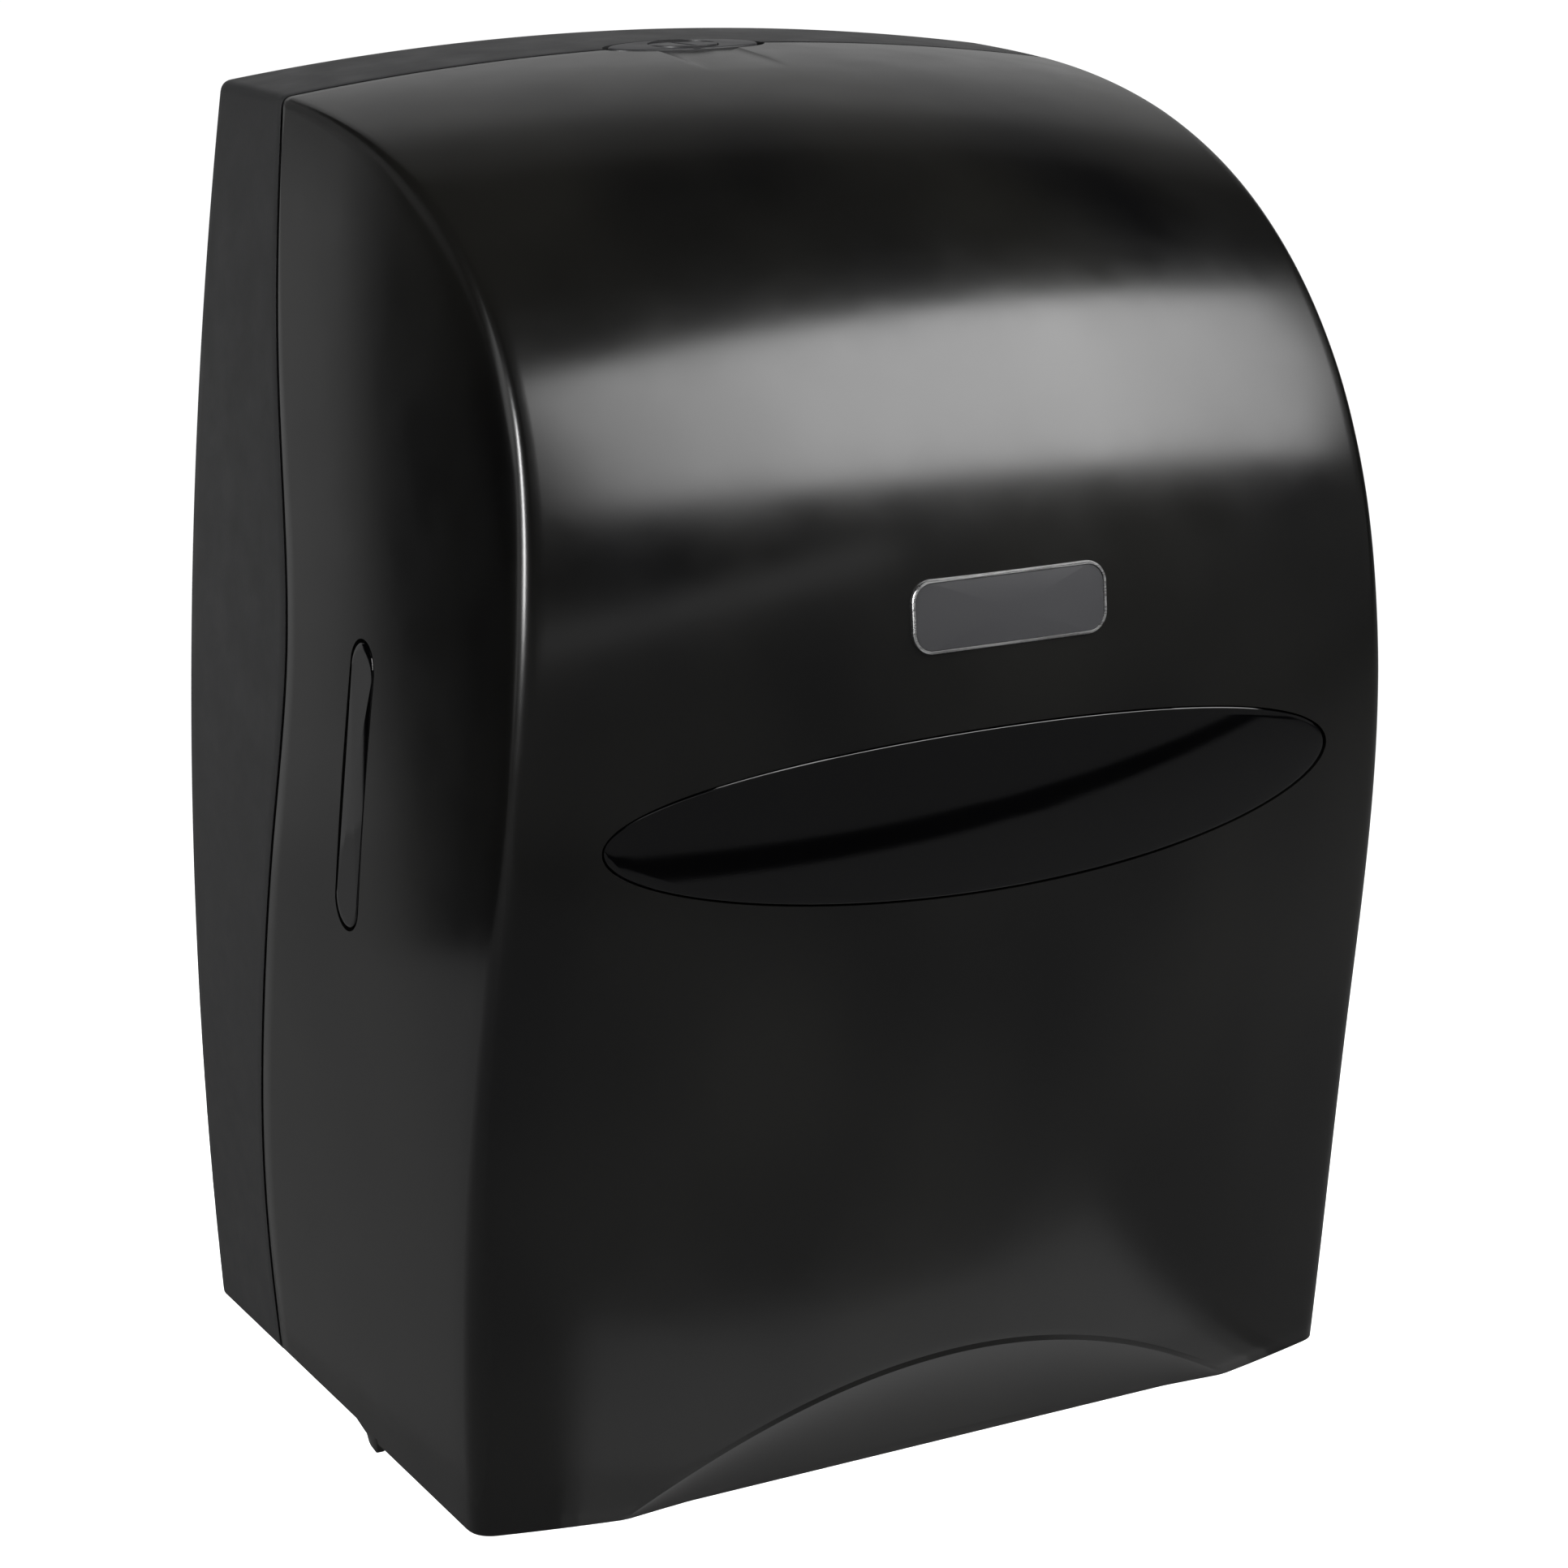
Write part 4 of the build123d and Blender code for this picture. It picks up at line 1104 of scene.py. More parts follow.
class NodeGroup(Graph):
    """A Geometry Nodes tree with named size inputs that ends in Realize Instances and Set Material."""

    def __init__(self, name: str, **sizes: float) -> None:
        """Starts the tree.

        Args:
            name: name of the tree.
            sizes: its named inputs and their values in millimetres.
        """
        super().__init__(bpy.data.node_groups.new(name, "GeometryNodeTree"))
        face = self.tree.interface
        face.new_socket("Geometry", in_out="INPUT", socket_type="NodeSocketGeometry")
        for size in sizes:
            face.new_socket(size, in_out="INPUT", socket_type="NodeSocketFloat")
        face.new_socket("Material", in_out="INPUT", socket_type="NodeSocketMaterial")
        face.new_socket("Geometry", in_out="OUTPUT", socket_type="NodeSocketGeometry")
        self.sizes = {size: value * MM for size, value in sizes.items()}
        self.source = self.nodes.new("NodeGroupInput").outputs

    def times(self, size: str, factor: float) -> Socket:
        """Returns one of the named sizes times a factor."""
        return self.math("MULTIPLY", self.source[size], factor)

    def moved(self, part: Node, z: Socket) -> Node:
        """Returns a part moved along Z."""
        return self.add("Transform", {0: part.outputs[0], "Translation": self.vector(Z=z)})

    def solid(self, operation: str, *parts: Node, first: Node | None = None) -> Node:
        """Returns a union of parts, or what is left of the first one without them."""
        start = {"Mesh 1": first.outputs[0]} if first else {}
        node = self.add("MeshBoolean", start, operation=operation, solver="EXACT")
        for part in parts:
            self.link(part.outputs[0], node.inputs["Mesh 2"])
        return node

    def math(self, operation: str, *parts: Socket | float) -> Socket:
        """Returns the result of a sum on sockets or numbers."""
        node = self.add("ShaderNodeMath", dict(enumerate(parts)), operation=operation)
        return node.outputs[0]

    def vector(self, **parts: Socket | float) -> Socket:
        """Returns a vector from its X, Y and Z."""
        return self.add("ShaderNodeCombineXYZ", parts).outputs[0]

    def run(self, name: str, part: Node, turn: Sequence[float], points: Sequence[Sequence[float]],
            material: Material) -> Piece:
        """Ends the tree, runs it on points and returns a plain mesh.

        Args:
            name: name of the piece.
            part: what is repeated.
            turn: how it is turned, in radians about X, Y and Z.
            points: where it stands, in millimetres.
            material: material of the piece.

        Returns:
            The piece with its mesh realized and no modifier left.
        """
        stand = self.add("InstanceOnPoints", {
            "Points": self.source["Geometry"], "Instance": part.outputs[0], "Rotation": turn,
        })
        real = self.add("RealizeInstances", {0: stand.outputs[0]})
        paint = self.add("SetMaterial", {0: real.outputs[0], "Material": self.source["Material"]})
        self.link(paint.outputs[0], self.nodes.new("NodeGroupOutput").inputs[0])
        piece = new_object(name, np.array(points) * MM, [])
        step = piece.modifiers.new("repeat", "NODES")
        step.node_group = self.tree
        for socket in self.tree.interface.items_tree:
            if socket.in_out == "INPUT" and socket.name in self.sizes:
                step[socket.identifier] = float(self.sizes[socket.name])
            elif socket.in_out == "INPUT" and socket.name == "Material":
                step[socket.identifier] = material
        bake(piece)
        tidy(piece, 1e-7)
        smooth(piece)
        return piece


@dataclass
class RearHousing(SubAssembly):
    """Charcoal housing against the wall: back, sides, top and bottom flange behind the seam."""

    top_columns: int = 72
    side_columns: int = 90
    bottom_columns: int = 30
    rows: int = 16
    arc_steps: int = 5
    corner: float = 3.2
    inner_corner: float = 1.5
    mount: tuple = (250.0, 300.0)
    mount_radius: float = 3.0
    mount_span: tuple = (-8.0, 4.0)
    boss_places: tuple = (
        (99.0, -170.0), (99.0, -60.0), (128.0, 52.0), (128.0, 78.0),
        (-99.0, -170.0), (-99.0, -60.0), (-128.0, 52.0), (-128.0, 78.0),
    )
    boss_radius: float = 5.0
    boss_bore: float = 1.81
    boss_height: float = 9.0
    boss_root: float = 0.5
    rib_reach: float = 3.4
    rib_height: float = 0.62
    rib_thick: float = 1.6
    lip_span: tuple = (-201.8, 182.0)
    lip_path: tuple = ((2.4, -9.0), (2.4, -5.0), (3.9, -4.0), (3.9, 6.5), (4.4, 7.0), (5.2, 7.0), (5.2, -9.0))
    notch: tuple = (53.6, 26.6)
    first_half: float = 133.0
    fit_rounds: int = 30

    def sheet(self, inset: float) -> Array:
        """Returns the walls as closed rings of points from the back to the seam.

        Args:
            inset: distance inside the outer surface.
        """
        rings = []
        low = SHAPE.low + inset
        slant = SHAPE.rim_slant if inset else 0.0
        for share in np.linspace(0, 1, self.rows):
            depth = inset + (SHAPE.top_seam - slant - inset) * share
            x = self.first_half
            for _ in range(self.fit_rounds):
                along = SHAPE.share_at_depth(depth, np.array(x), inset)
                _, z = SHAPE.front(along, np.array(x), inset)
                x = float(SHAPE.half_width(z, -depth, inset))
            height = np.linspace(low, float(z), self.side_columns)
            reach = -(inset + (SHAPE.seam_depth(height) - slant - inset) * share)
            side = spots(SHAPE.half_width(height, reach, inset), reach, height)
            across = np.linspace(x, -x, self.top_columns)
            _, lift = SHAPE.front(SHAPE.share_at_depth(depth, across, inset), across, inset)
            foot = np.linspace(-side[0, 0], side[0, 0], self.bottom_columns)
            runs = [side, spots(across, -depth, lift), side[::-1] * MIRROR, spots(foot, side[0, 1], low)]
            rings.append(self.rounded(runs, self.inner_corner if inset else self.corner))
        return np.stack(rings)

    def rounded(self, runs: list[Array], radius: float) -> Array:
        """Joins runs of points into a ring with round corners.

        Args:
            runs: runs that meet end to end.
            radius: size of the rounding.

        Returns:
            The ring's points.
        """
        ring = []
        for run, after in zip(runs, runs[1:] + runs[:1]):
            line = self.trimmed(run, radius)
            ring.append(line)
            start = self.trimmed(after, radius)[0]
            ring.append(corner_arc(line[-1:], run[-1:], start[None], self.arc_steps)[0])
        return np.concatenate(ring)

    def trimmed(self, run: Array, radius: float) -> Array:
        """Returns a run with radius cut off both ends and its number of points kept."""
        steps = np.linalg.norm(np.diff(run, axis=0), axis=1)
        far = np.concatenate([[0], np.cumsum(steps)])
        places = np.linspace(radius, far[-1] - radius, len(run))
        return np.stack([np.interp(places, far, run[:, axis]) for axis in range(3)], axis=-1)

    def shell(self) -> Piece:
        """Returns the closed shell before its holes are cut."""
        outer, inner = self.sheet(0.0), self.sheet(SHAPE.wall)
        rows, columns, _ = outer.shape
        count = rows * columns
        points = np.concatenate([outer.reshape(-1, 3), inner.reshape(-1, 3)]) * MM
        faces = []
        for row in range(rows - 1):
            for i in range(columns):
                a, b = row * columns + i, row * columns + (i + 1) % columns
                faces.append((a, b, b + columns, a + columns))
                faces.append((count + a, count + a + columns, count + b + columns, count + b))
        last = (rows - 1) * columns
        for i in range(columns):
            a, b = last + i, last + (i + 1) % columns
            faces.append((a, b, count + b, count + a))
        faces.append(tuple(range(columns)))
        faces.append(tuple(range(count, count + columns)))
        piece = new_object("housing_shell", points, faces)
        tidy(piece, 1e-6, outward=True)
        round_edges(piece, 0.6, 60.0)
        return piece

    def lips(self) -> list[Piece]:
        """Returns the lips inside the side edges, which reach behind the cover's edge."""
        height = np.linspace(*self.lip_span, 120)
        pieces = []
        for side in Side:
            runs = []
            for inset, ahead in self.lip_path:
                y = -(SHAPE.seam_depth(height) + ahead)
                runs.append(spots(side.value * SHAPE.half_width(height, y, inset), y, height))
            rows, count = len(height), len(runs)
            faces = ring_faces(rows, count)
            faces += [tuple(range(count)), tuple(range((rows - 1) * count, rows * count))]
            piece = new_object(f"seam_lip_{side.name.lower()}", np.stack(runs, axis=1) * MM, faces)
            tidy(piece, 1e-6, outward=True)
            smooth(piece)
            pieces.append(piece)
        return pieces

    def tools(self) -> Piece:
        """Returns the volumes that cut the wall-screw holes and the lock's notch."""
        pieces = [prism("notch_cut", oval(*self.notch, 120), square_to(2, (0, LockSet.y)), *LockSet.notch_span)]
        for x in (-1, 1):
            for z in (-1, 1):
                centre = np.array([x * self.mount[0] / 2, z * self.mount[1] / 2])
                hole = oval(2 * self.mount_radius, 2 * self.mount_radius, 40)
                pieces.append(prism("hole_cut", hole, square_to(1, centre), *self.mount_span))
        return join("housing_cuts", pieces)

    def bosses(self) -> Piece:
        """Returns the screw bosses, bored and ribbed, repeated over their places."""
        tree = NodeGroup(
            "screw_bosses", Radius=self.boss_radius, Bore=self.boss_bore, Height=self.boss_height + self.boss_root,
        )
        size = tree.source
        post = tree.add("MeshCylinder", {"Vertices": 32, "Radius": size["Radius"], "Depth": size["Height"]})
        bore = tree.add("MeshCylinder", {"Vertices": 32, "Radius": size["Bore"], "Depth": 1.0})
        reach, tall = tree.times("Radius", self.rib_reach), tree.times("Height", self.rib_height)
        drop = tree.math("MULTIPLY", tree.math("SUBTRACT", size["Height"], tall), -0.5)
        thick = self.rib_thick * MM
        ribs = [
            tree.moved(tree.add("MeshCube", {"Size": tree.vector(X=x, Y=y, Z=tall)}), drop)
            for x, y in ((reach, thick), (thick, reach))
        ]
        bored = tree.solid("DIFFERENCE", bore, first=tree.solid("UNION", post, *ribs))
        y = -(SHAPE.wall + (self.boss_height - self.boss_root) / 2)
        points = [(x, y, z) for x, z in self.boss_places]
        return tree.run("housing_bosses", bored, (math.pi / 2, 0, 0), points, PAINTS.material("housing_plastic"))

    def build(self) -> None:
        """Builds the housing."""
        shell = self.shell()
        cut(shell, self.tools())
        smooth(shell, 38.0)
        shell.name = "housing_moulding"
        self.attach(shell, Body.HOUSING, "housing_plastic", "rear_housing")
        self.attach(self.bosses(), Body.HOUSING, "housing_plastic")
        for lip in self.lips():
            self.attach(lip, Body.HOUSING, "housing_plastic")


@dataclass
class LockSet(SubAssembly):
    """Oval lock head that lies in the top seam, with its keyed barrel and cam."""

    proud: float = 0.3
    head_top: float = 203.1
    head_root: float = 194.0
    head_edge: float = 1.2
    face_skin: float = 0.03
    head_trim: tuple = (0.995, 0.975)
    neck_trim: tuple = (0.94, 0.86)
    barrel_sink: float = 3.6
    turn_radius: float = 10.7
    turn_span: tuple = (198.6, 202.8)
    turn_slot: tuple = (1.8, 1.5)
    turn_gap: float = 0.45
    turn_rim: float = 1.2
    seat_gap: float = 0.3
    seat_top: float = 210.0
    notch_span: tuple = (185.0, 215.0)
    y: float = -50.0

    def settle(self, piece: Piece, move: Callable[[Array], Array]) -> None:
        """Moves a piece's points.

        Args:
            piece: the dressed piece.
            move: turns points into their new places, in millimetres.
        """
        points = np.empty(len(piece.data.vertices) * 3, np.float32)
        piece.data.vertices.foreach_get("co", points)
        moved = move(points.reshape(-1, 3).astype(float) / MM)
        piece.data.vertices.foreach_set("co", (moved * MM).ravel())
        piece.data.update()

    def lay_in(self, points: Array) -> Array:
        """Returns the head's points with the face following the top and the wall undercut below it."""
        x, y, z = points.T
        share = np.clip((z - self.head_root) / (self.head_top - self.head_edge - self.head_root), 0, 1)
        face = (z > self.head_top - self.face_skin)[:, None]
        trim = 1 + share[:, None] * (np.where(face, self.head_trim, self.neck_trim) - 1)
        x, y = x * trim[:, 0], self.y + (y - self.y) * trim[:, 1]
        return spots(x, y, z + share * (SHAPE.top_z(x, y) + self.proud - self.head_top))

    def disc(self, name: str, radius: float, low: float, high: float) -> Piece:
        """Returns a disc about the lock's axis."""
        return prism(name, oval(2 * radius, 2 * radius, 72), square_to(2, (0, self.y)), low, high)

    def turn_plate(self) -> Piece:
        """Returns the round turn plate with the key's slot across it."""
        low, high = self.turn_span
        wide, deep = self.turn_slot
        plate = self.disc("lock_turn_plate", self.turn_radius, low, high)
        slot = rounded_bar(2 * (self.turn_radius - self.turn_rim), wide, wide / 2 - 0.01, 8)[:, ::-1]
        cut(plate, prism("slot_cut", slot, square_to(2, (0, self.y)), high - deep, high + 2))
        round_edges(plate, 0.35, 50.0, 3)
        smooth(plate)
        return plate

    def build(self) -> None:
        """Builds the lock's pieces."""
        head = self.dress("lock_escutcheon", Body.HOUSING, 0.35, slot="lock_plastic")
        self.settle(head, self.lay_in)
        seat = self.turn_span[0] - self.seat_gap
        cut(head, self.disc("seat_cut", self.turn_radius + self.turn_gap, seat, self.seat_top))
        smooth(head, 32.0)
        barrel = self.dress("lock_barrel", Body.LOCK, 0.3, slot="lock_plastic")
        self.settle(barrel, lambda points: points - np.outer(points[:, 2] > self.head_root, (0, 0, self.barrel_sink)))
        self.attach(self.turn_plate(), Body.LOCK, "lock_plastic")
        self.dress("lock_cam", Body.LOCK, 0.3)


@dataclass
class Chassis(SubAssembly):
    """Chassis inside the housing: base, side plates, rods, screws and hinge pins."""

    screw_places: tuple = RearHousing.boss_places
    screw_face: float = -15.0
    head_radius: float = 4.0
    head_height: float = 2.5
    shank_radius: float = 1.75
    shank_length: float = 11.8
    shoulder: float = 0.97
    crown: float = 0.62
    recess: tuple = (1.05, 0.22)
    recess_depth: tuple = (1.4, 0.95)
    turn: float = 0.4

    def screws(self) -> Piece:
        """Returns the pan-head screws with cross recesses, repeated over their places."""
        tree = NodeGroup(
            "pan_head_screws", Head=self.head_radius, Height=self.head_height, Shank=self.shank_radius,
            Length=self.shank_length,
        )
        size = tree.source
        half = tree.times("Height", 0.5)
        shoulder = tree.times("Head", self.shoulder)
        rim = tree.add("MeshCone", {
            "Vertices": 40, "Radius Top": shoulder, "Radius Bottom": size["Head"], "Depth": half,
        })
        dome = tree.add("MeshCone", {
            "Vertices": 40, "Radius Top": tree.times("Head", self.crown), "Radius Bottom": shoulder, "Depth": half,
        })
        shank = tree.add("MeshCylinder", {"Vertices": 24, "Radius": size["Shank"], "Depth": size["Length"]})
        body = tree.solid("UNION", rim, tree.moved(dome, half), tree.moved(shank, tree.times("Length", -0.5)))
        wide, thin = (tree.times("Head", share) for share in self.recess)
        deep, lift = (tree.times("Height", share) for share in self.recess_depth)
        bars = [
            tree.moved(tree.add("MeshCube", {"Size": tree.vector(X=x, Y=y, Z=deep)}), lift)
            for x, y in ((wide, thin), (thin, wide))
        ]
        cross = tree.solid("DIFFERENCE", *bars, first=body)
        points = [(x, self.screw_face - self.head_height / 2, z) for x, z in self.screw_places]
        return tree.run("chassis_screw_set", cross, (math.pi / 2, self.turn, 0), points, PAINTS.material("steel"))

    def build(self) -> None:
        """Builds the chassis pieces."""
        self.dress_all(Body.HOUSING, 0.5, "chassis_base", "chassis_left_plate", "chassis_right_plate")
        self.dress_all(Body.HOUSING, 0.3, "tie_rods", "paper_guide_bar", "hinge_pin_left", "hinge_pin_right")
        self.attach(self.screws(), Body.HOUSING, "steel", "chassis_screws")


@dataclass
class RollHolder(SubAssembly):
    """Two arms and core hubs that carry the towel roll."""

    knuckle: tuple = (114.0, 65.0)
    leaf_bend: tuple = (-25.0, -80.0)

    def build(self) -> None:
        """Builds the arms, their spring and the hubs."""
        self.dress("left_roll_arm", Body.HOUSING, 0.6)
        self.dress("right_arm_bracket", Body.HOUSING, 0.5)
        self.dress("right_arm_pin", Body.HOUSING, 0.3)
        start, end = (Vector((self.knuckle[0], y, self.knuckle[1])) * MM for y in self.leaf_bend)
        self.dress("arm_leaf_spring", Body.HOUSING, 0.12, bend=(Body.RIGHT_ARM, start, end))
        self.dress("right_roll_arm", Body.RIGHT_ARM, 0.6)
        self.dress("left_core_hub", Body.LEFT_HUB, 0.6)
        self.dress("right_core_hub", Body.RIGHT_HUB, 0.6)


@dataclass
class FeedDrum(SubAssembly):
    """Feed drum on its shaft, with grip bands, hand wheel and index cam."""

    def build(self) -> None:
        """Builds the drum's pieces and what carries it."""
        self.dress("drum_shell", Body.DRUM, 0.3)
        self.dress_all(
            Body.DRUM, 0.25, "drum_end_left", "drum_end_right", "drum_shaft", "index_cam", "drum_grip_bands",
        )
        self.dress("feed_wheel", Body.DRUM, 0.6)
        self.dress_all(Body.HOUSING, 0.3, "drum_bush_left", "drum_bush_right")
        self.dress("detent_spring", Body.HOUSING, 0.12)


@dataclass
class Knife(SubAssembly):
    """Serrated knife on its carrier inside the drum, and the ring track beside it."""

    end_play: float = 0.995

    def build(self) -> None:
        """Builds the knife's pieces."""
        blade = self.dress("knife_blade", Body.KNIFE, 0.15)
        blade.data.transform(Matrix.Scale(self.end_play, 4, (1, 0, 0)))
        self.dress("knife_carrier", Body.KNIFE, 0.5)
        self.dress("knife_followers", Body.KNIFE, 0.25)
        self.dress("knife_cam_plate", Body.HOUSING, 0.3)


@dataclass
class PinchRoller(SubAssembly):
    """Sprung pinch roller that holds the towel on the drum."""

    leaf_half: float = 20.0
    leaf_thick: float = 0.8
    leaf_wide: float = 6.0
    leaf_seat: float = 7.4

    def leaves(self, way: int) -> None:
        """Builds the halves of both leaf springs that run one way from the blocks.

        Args:
            way: 1 for the upper halves, -1 for the lower ones.
        """
        low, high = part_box("pinch_leaf_springs")
        middle, outer = (low + high) / 2 / MM, high.x / MM
        slope = math.sqrt(0.5)
        run = Vector((0, -way * slope, way * slope))
        along = np.linspace(0, self.leaf_half, 26)
        half = self.leaf_thick / 2
        outline = np.concatenate([spots(along, half), spots(along, -half)[::-1]])

        def place(flat: Array, x: float) -> Array:
            """Puts the leaf's outline along its run."""
            far, rise = flat.T
            return spots(x, middle.y + far * run.y + rise * slope, middle.z + far * run.z + rise * slope)

        pieces = [
            prism("leaf", outline, place, *sorted((side.value * (outer - self.leaf_wide), side.value * outer)))
            for side in Side
        ]
        piece = join("pinch_leaves_upper" if way > 0 else "pinch_leaves_lower", pieces)
        smooth(piece)
        start, end = ((middle + run * far) * MM for far in (self.leaf_half, self.leaf_seat))
        self.attach(
            piece, Body.HOUSING, "spring_steel", "pinch_leaf_springs", bend=(Body.PINCH_CARRIAGE, start, end),
        )

    def build(self) -> None:
        """Builds the roller, its blocks and their springs."""
        self.dress_all(Body.PINCH_CARRIAGE, 0.4, "pinch_block_left", "pinch_block_right")
        self.dress("pinch_shaft", Body.PINCH_ROLLER, 0.3)
        self.dress("pinch_tyres", Body.PINCH_ROLLER, 0.5)
        for way in (1, -1):
            self.leaves(way)


@dataclass
class TowelPath(SubAssembly):
    """Stripper fingers and the exit chute."""

    def build(self) -> None:
        """Builds the towel path's pieces."""
        self.dress_all(Body.HOUSING, 0.4, "stripper_bar", "exit_chute")


CARD_LOW = -0.2085
CARDS = (
    ("front_flag_low", 0.0, (-2.4, 2.4), -0.57, (CARD_LOW, -0.182)),
    ("front_flag_high", 0.15, (-2.4, 2.4), -0.57, (-0.182, 0.1)),
    ("rear_card_low", 0.42, (-0.2, 2.6), 1.4, (0.1, 0.75)),
    ("rear_card_middle", 0.3, (-0.2, 2.6), 1.4, (0.75, 1.3)),
    ("rear_card_high", 0.08, (-0.2, 2.6), 1.4, (1.3, 2.0)),
    ("left_card_near", 0.21, (-1.3, -0.165), (-0.3, 0.6), CARD_LOW),
    ("left_card_far", 0.28, (-1.3, -0.165), (0.6, 1.5), CARD_LOW),
    ("left_screen", 0.33, (-2.4, -0.25), 1.5, (CARD_LOW, 0.25)),
    ("top_flag", 0.0, (-0.3, 0.45), -0.21, (0.212, 0.36)),
    ("left_fill", 1.2, -1.3, (-0.1, 0.3), (-0.1, 0.5)),
    ("left_fill_high", 1.5, -1.3, (-0.1, 0.3), (0.5, 1.1)),
)
SLANTED_CARDS = (
    ("front_glint", (
        (-0.22, -0.566, 0.033), (0.075, -0.566, 0.108), (0.075, -0.566, 0.138), (-0.22, -0.566, 0.063),
    ), 1.0),
    ("left_flag", (
        (-0.226, -0.032, -0.08), (-0.425, -0.165, -0.08), (-0.425, -0.165, 0.19), (-0.184, -0.003, 0.19),
    ), 0.0),
)


@dataclass
class Studio:
    """Pale floor and sweep, cards, soft lights and the camera."""

    azimuth: float = -25.731
    elevation: float = 15.543
    roll: float = -1.116
    distance: float = 1058.147
    target: tuple = (-3.83, -120.0, -18.7)
    focal_pixels: float = 4205.08
    sensor: float = 36.0
    clip: tuple = (0.01, 60.0)
    floor_z: float = -430.0
    floor_start: float = -9.0
    floor_half: float = 9.0
    floor_back: float = 1.6
    floor_bend: float = 0.9
    floor_top: float = 1.9
    paper: tuple = (0.84, 0.87)
    floor_echo: float = 0.085
    pool: tuple = (0.7, 1.6)
    pale: float = 1.05
    room: float = 0.006
    foot_cards: tuple = (("foot_card_near", (-0.235, -0.19), 0.55), ("foot_card_far", (-0.3, -0.235), 0.7))
    foot_fade: tuple = (
        ((-0.116, 0.12), 1.0), ((-0.121, -0.116), 0.66), ((-0.126, -0.121), 0.33), ((0.12, 0.128), 0.66),
        ((0.128, 0.136), 0.33),
    )
    box_place: tuple = (0.51, -0.915, 0.885)
    box_wide: tuple = (1.604, 0.601, -0.308)
    box_tall: tuple = (-0.133, 0.583, 0.844)
    box_height: float = 0.935
    box_step: float = 0.08
    boxes: tuple = (
        ("front_box", 1.08, 0.035, 33.0), ("front_core", 0.72, 0.0, 6.0), ("front_heart", 0.42, 0.0, 4.2),
    )

    def camera(self) -> None:
        """Stands the camera where the picture was taken from."""
        az, el, roll = (math.radians(angle) for angle in (self.azimuth, self.elevation, self.roll))
        back = Vector((math.sin(az) * math.cos(el), -math.cos(az) * math.cos(el), math.sin(el)))
        right = (-back).cross(Vector((0, 0, 1))).normalized()
        up = right.cross(-back)
        right, up = right * math.cos(roll) + up * math.sin(roll), up * math.cos(roll) - right * math.sin(roll)
        data = bpy.data.cameras.new("camera")
        data.sensor_width = self.sensor
        data.lens = self.focal_pixels / IMAGE * self.sensor
        data.clip_start, data.clip_end = self.clip
        camera = linked("camera", data)
        place = (Vector(self.target) + back * self.distance) * MM
        turn = Matrix((right, up, back)).transposed().to_4x4()
        camera.matrix_world = Matrix.Translation(place) @ turn
        bpy.context.scene.camera = camera

    def floor(self) -> None:
        """Lays the pale floor, which sweeps up behind the dispenser and is clear from below."""
        start, bend = self.floor_back, self.floor_bend
        line = [(self.floor_start, 0.0), (start, 0.0)]
        turns = np.linspace(0, math.pi / 2, 16)[1:]
        line += [(start + bend * math.sin(turn), bend - bend * math.cos(turn)) for turn in turns]
        line += [(start + bend, self.floor_top)]
        points = [(x, y, self.floor_z * MM + z) for y, z in line for x in (-self.floor_half, self.floor_half)]
        sweep = new_object("floor_sweep", np.array(points), grid_faces(len(line), 2))
        smooth(sweep, 60.0)
        tree = Tree("floor_pale_paper")
        tree.tint(tree.noise(3.0, 3.0), *([grey] * 3 for grey in self.paper))
        tree.fill(tree.shader, {"Roughness": 0.9, "Specular IOR Level": 0.1})
        dim = tree.add("ShaderNodeBsdfDiffuse", {"Color": (*[self.floor_echo] * 3, 1)})
        ray = tree.add("ShaderNodeLightPath").outputs
        far = tree.add("ShaderNodeVectorMath", {0: tree.place}, operation="LENGTH").outputs["Value"]
        reach = tree.add("ShaderNodeMapRange", {"From Min": self.pool[0], "From Max": self.pool[1], "Value": far})
        seen = tree.add(
            "ShaderNodeMath", {0: reach.outputs["Result"], 1: ray["Is Camera Ray"]}, operation="MULTIPLY",
        )
        glow = tree.add("ShaderNodeEmission", {"Strength": self.pale})
        clear = tree.add("ShaderNodeBsdfTransparent")
        below = tree.add("ShaderNodeNewGeometry").outputs["Backfacing"]
        paper = tree.blended(ray["Is Glossy Ray"], tree.shader.outputs[0], dim.outputs[0])
        paper = tree.blended(seen.outputs[0], paper, glow.outputs[0])
        sheet = tree.blended(below, paper, clear.outputs[0])
        tree.link(sheet, tree.nodes["Material Output"].inputs["Surface"])
        sweep.data.materials.append(tree.material)

    def card(self, name: str, corners: Sequence[Sequence[float]], grey: float) -> None:
        """Stands a card that only reflections see: black as a studio's flag, or bright as its reflector.

        Args:
            name: name of the card.
            corners: its corners in metres.
            grey: how bright it is.
        """
        card = new_object(name, np.array(corners), [(0, 1, 2, 3)])
        tree = Tree(name + "_paint")
        tree.fill(tree.shader, {
            "Base Color": (0, 0, 0, 1), "Specular IOR Level": 0.0, "Emission Color": (1, 1, 1, 1),
            "Emission Strength": grey,
        })
        card.data.materials.append(tree.material)
        card.visible_camera = card.visible_diffuse = card.visible_shadow = False
        card.visible_transmission = False

    def panel(self, name: str, grey: float, *spans: float | tuple[float, float]) -> None:
        """Stands a card square to an axis.

        Args:
            name: name of the card.
            grey: how bright it is.
            spans: its reach in X, Y and Z in metres, a pair for two of them and one number for the third.
        """
        corners = np.empty((4, 3))
        turns = iter(((0, 1, 1, 0), (0, 0, 1, 1)))
        for axis, span in enumerate(spans):
            corners[:, axis] = [span[end] for end in next(turns)] if isinstance(span, tuple) else span
        self.card(name, corners, grey)

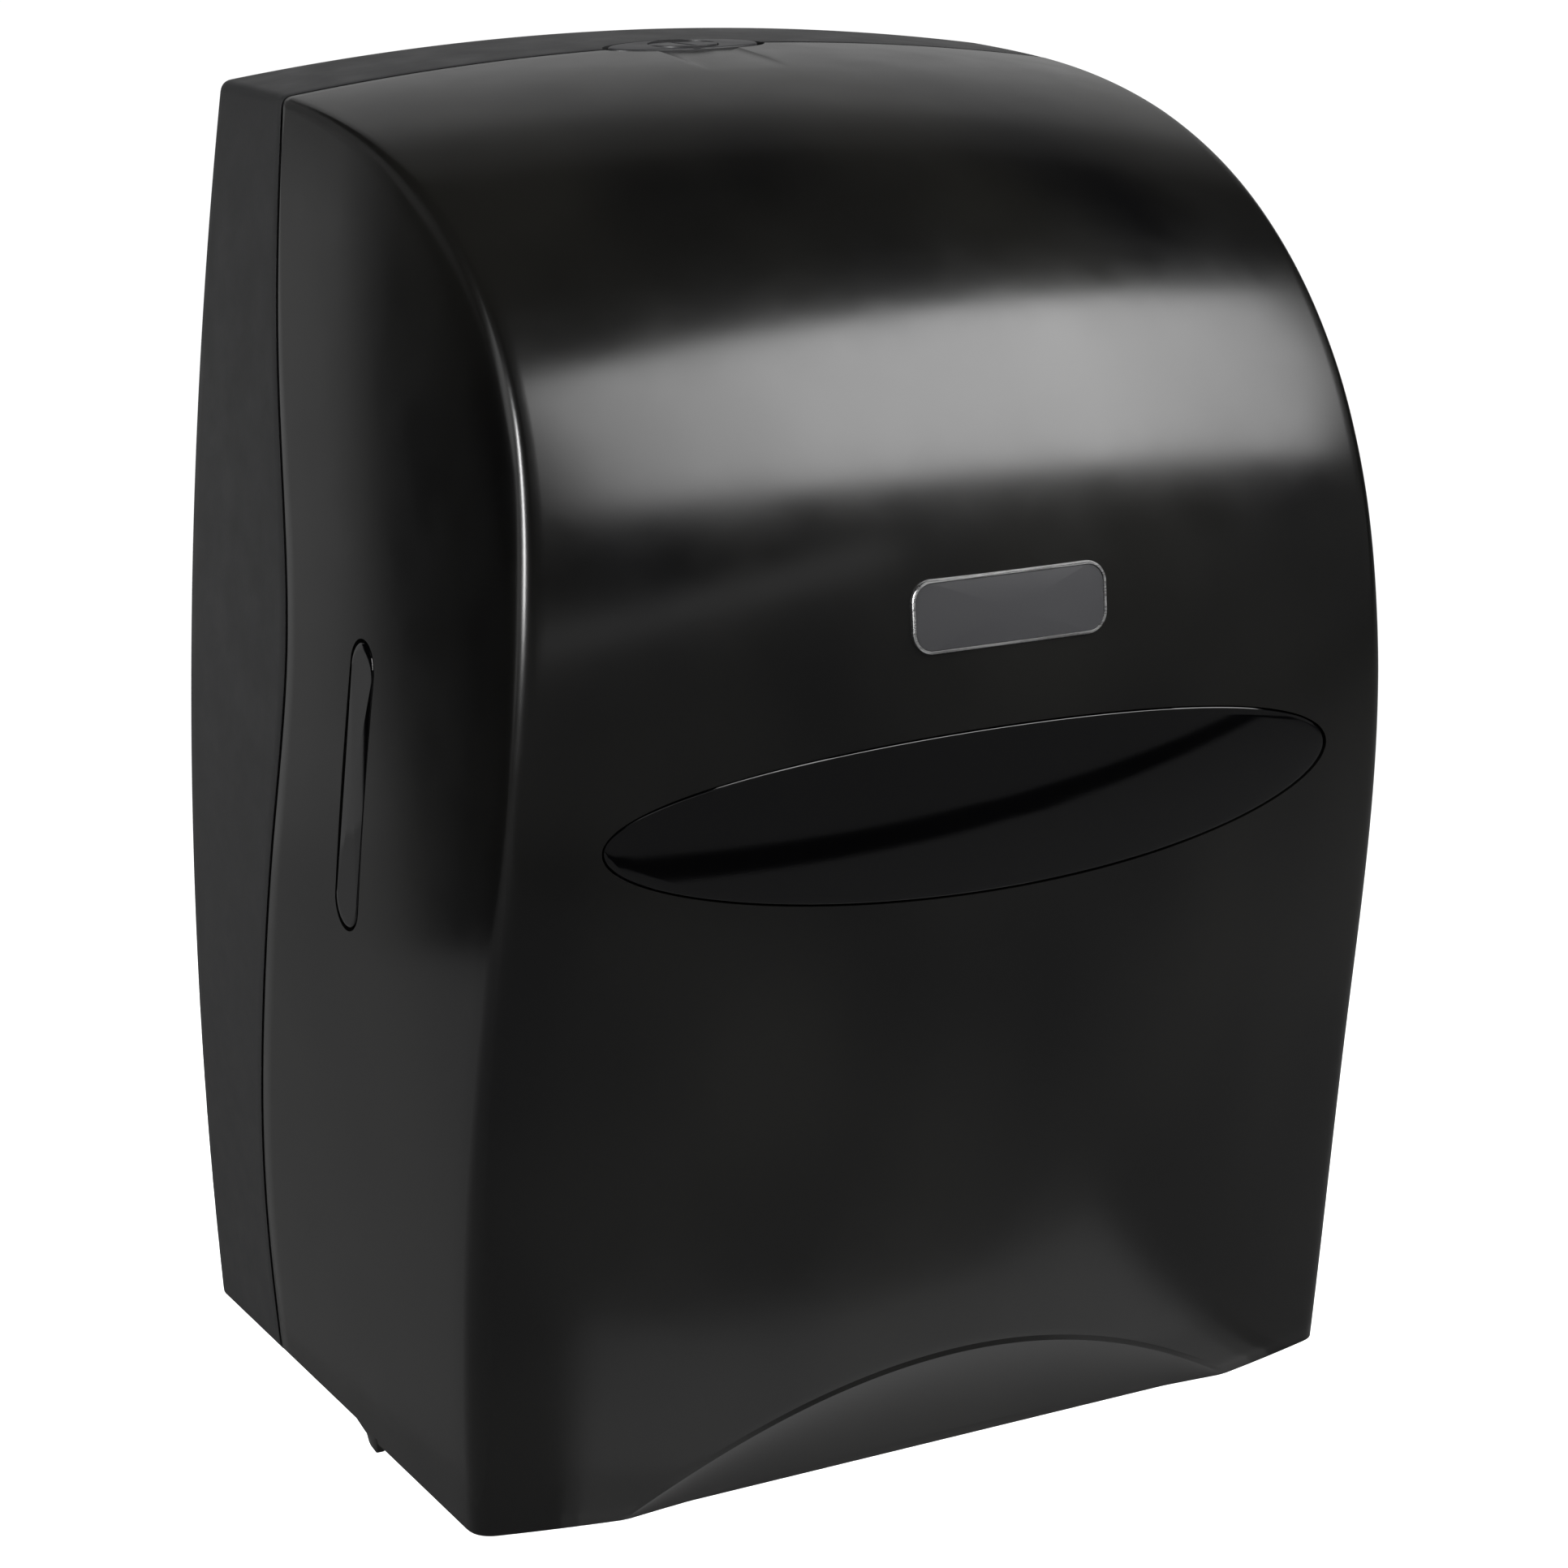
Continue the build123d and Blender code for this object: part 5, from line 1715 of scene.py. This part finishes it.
    def softbox(self, name: str, place: Sequence[float], wide: Sequence[float], tall: Sequence[float],
                power: float, mirrored: bool = True) -> None:
        """Hangs a soft rectangular light.

        Args:
            name: name of the light.
            place: its middle, in metres.
            wide: the vector along its width.
            tall: the vector up its height; it shines away from wide crossed with tall.
            power: its power in watts.
            mirrored: whether glossy surfaces show it.
        """
        data = bpy.data.lights.new(name, "AREA")
        data.shape = "RECTANGLE"
        wide, tall = Vector(wide), Vector(tall)
        data.size, data.size_y = wide.length, tall.length
        data.energy = power
        back = wide.cross(tall).normalized()
        up = back.cross(wide).normalized()
        light = linked(name, data)
        turn = Matrix((wide.normalized(), up, back)).transposed().to_4x4()
        light.matrix_world = Matrix.Translation(Vector(place)) @ turn
        light.visible_glossy = mirrored

    def air(self) -> None:
        """Fills the room with a little light, and shows a pale room behind the floor's edge."""
        world = bpy.data.worlds.new("studio_air")
        world.use_nodes = True
        graph = Graph(world.node_tree)
        white = (1, 1, 1, 1)
        room = graph.fill(graph.nodes["Background"], {"Color": white, "Strength": self.room})
        pale = graph.add("ShaderNodeBackground", {"Color": white, "Strength": self.pale})
        ray = graph.add("ShaderNodeLightPath").outputs["Is Camera Ray"]
        air = graph.blended(ray, room.outputs[0], pale.outputs[0])
        graph.link(air, graph.nodes["World Output"].inputs["Surface"])
        bpy.context.scene.world = world

    def build(self) -> None:
        """Sets up the floor, the cards, the lights, the room and the camera."""
        self.floor()
        for card in CARDS:
            self.panel(*card)
        for name, across, grey in self.foot_cards:
            for end, (span, share) in enumerate(self.foot_fade):
                self.panel(f"{name}_{end}", grey * share, span, across, CARD_LOW)
        for name, corners, grey in SLANTED_CARDS:
            self.card(name, corners, grey)
        wide, tall = Vector(self.box_wide), Vector(self.box_tall)
        ahead = tall.cross(wide).normalized() * self.box_step
        largest = self.boxes[0][1]
        for name, share, aside, power in self.boxes:
            place = Vector(self.box_place) + wide * aside + ahead * (largest - share)
            self.softbox(name, place, wide * share, tall * self.box_height, power)
        self.softbox("left_strip", (-1.9, -0.75, 0.7), (0.09, -0.24, 0.0), (0.45, 0.2, 1.2), 45.0)
        self.softbox("rear_wash", (0.6, 0.7, 2.6), (3.4, 0.0, 0.0), (0.0, 0.8, 0.8), 220.0, False)
        self.air()
        bpy.context.scene.view_settings.view_transform = "Standard"
        self.camera()


def main() -> None:
    """Builds each sub-assembly in order and reports its pieces."""
    logging.basicConfig(level=logging.INFO, format="%(name)s: %(message)s")
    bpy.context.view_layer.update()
    order = (
        RearHousing(), FrontCover(), SightStrips(), BadgePlate(), LockSet(), Chassis(), RollHolder(), FeedDrum(),
        Knife(), PinchRoller(), TowelPath(),
    )
    for assembly in order:
        assembly.build()
        log.info("%s has %d pieces", type(assembly).__name__, len(assembly.made))
    Studio().build()


if __name__ == "__main__":
    main()
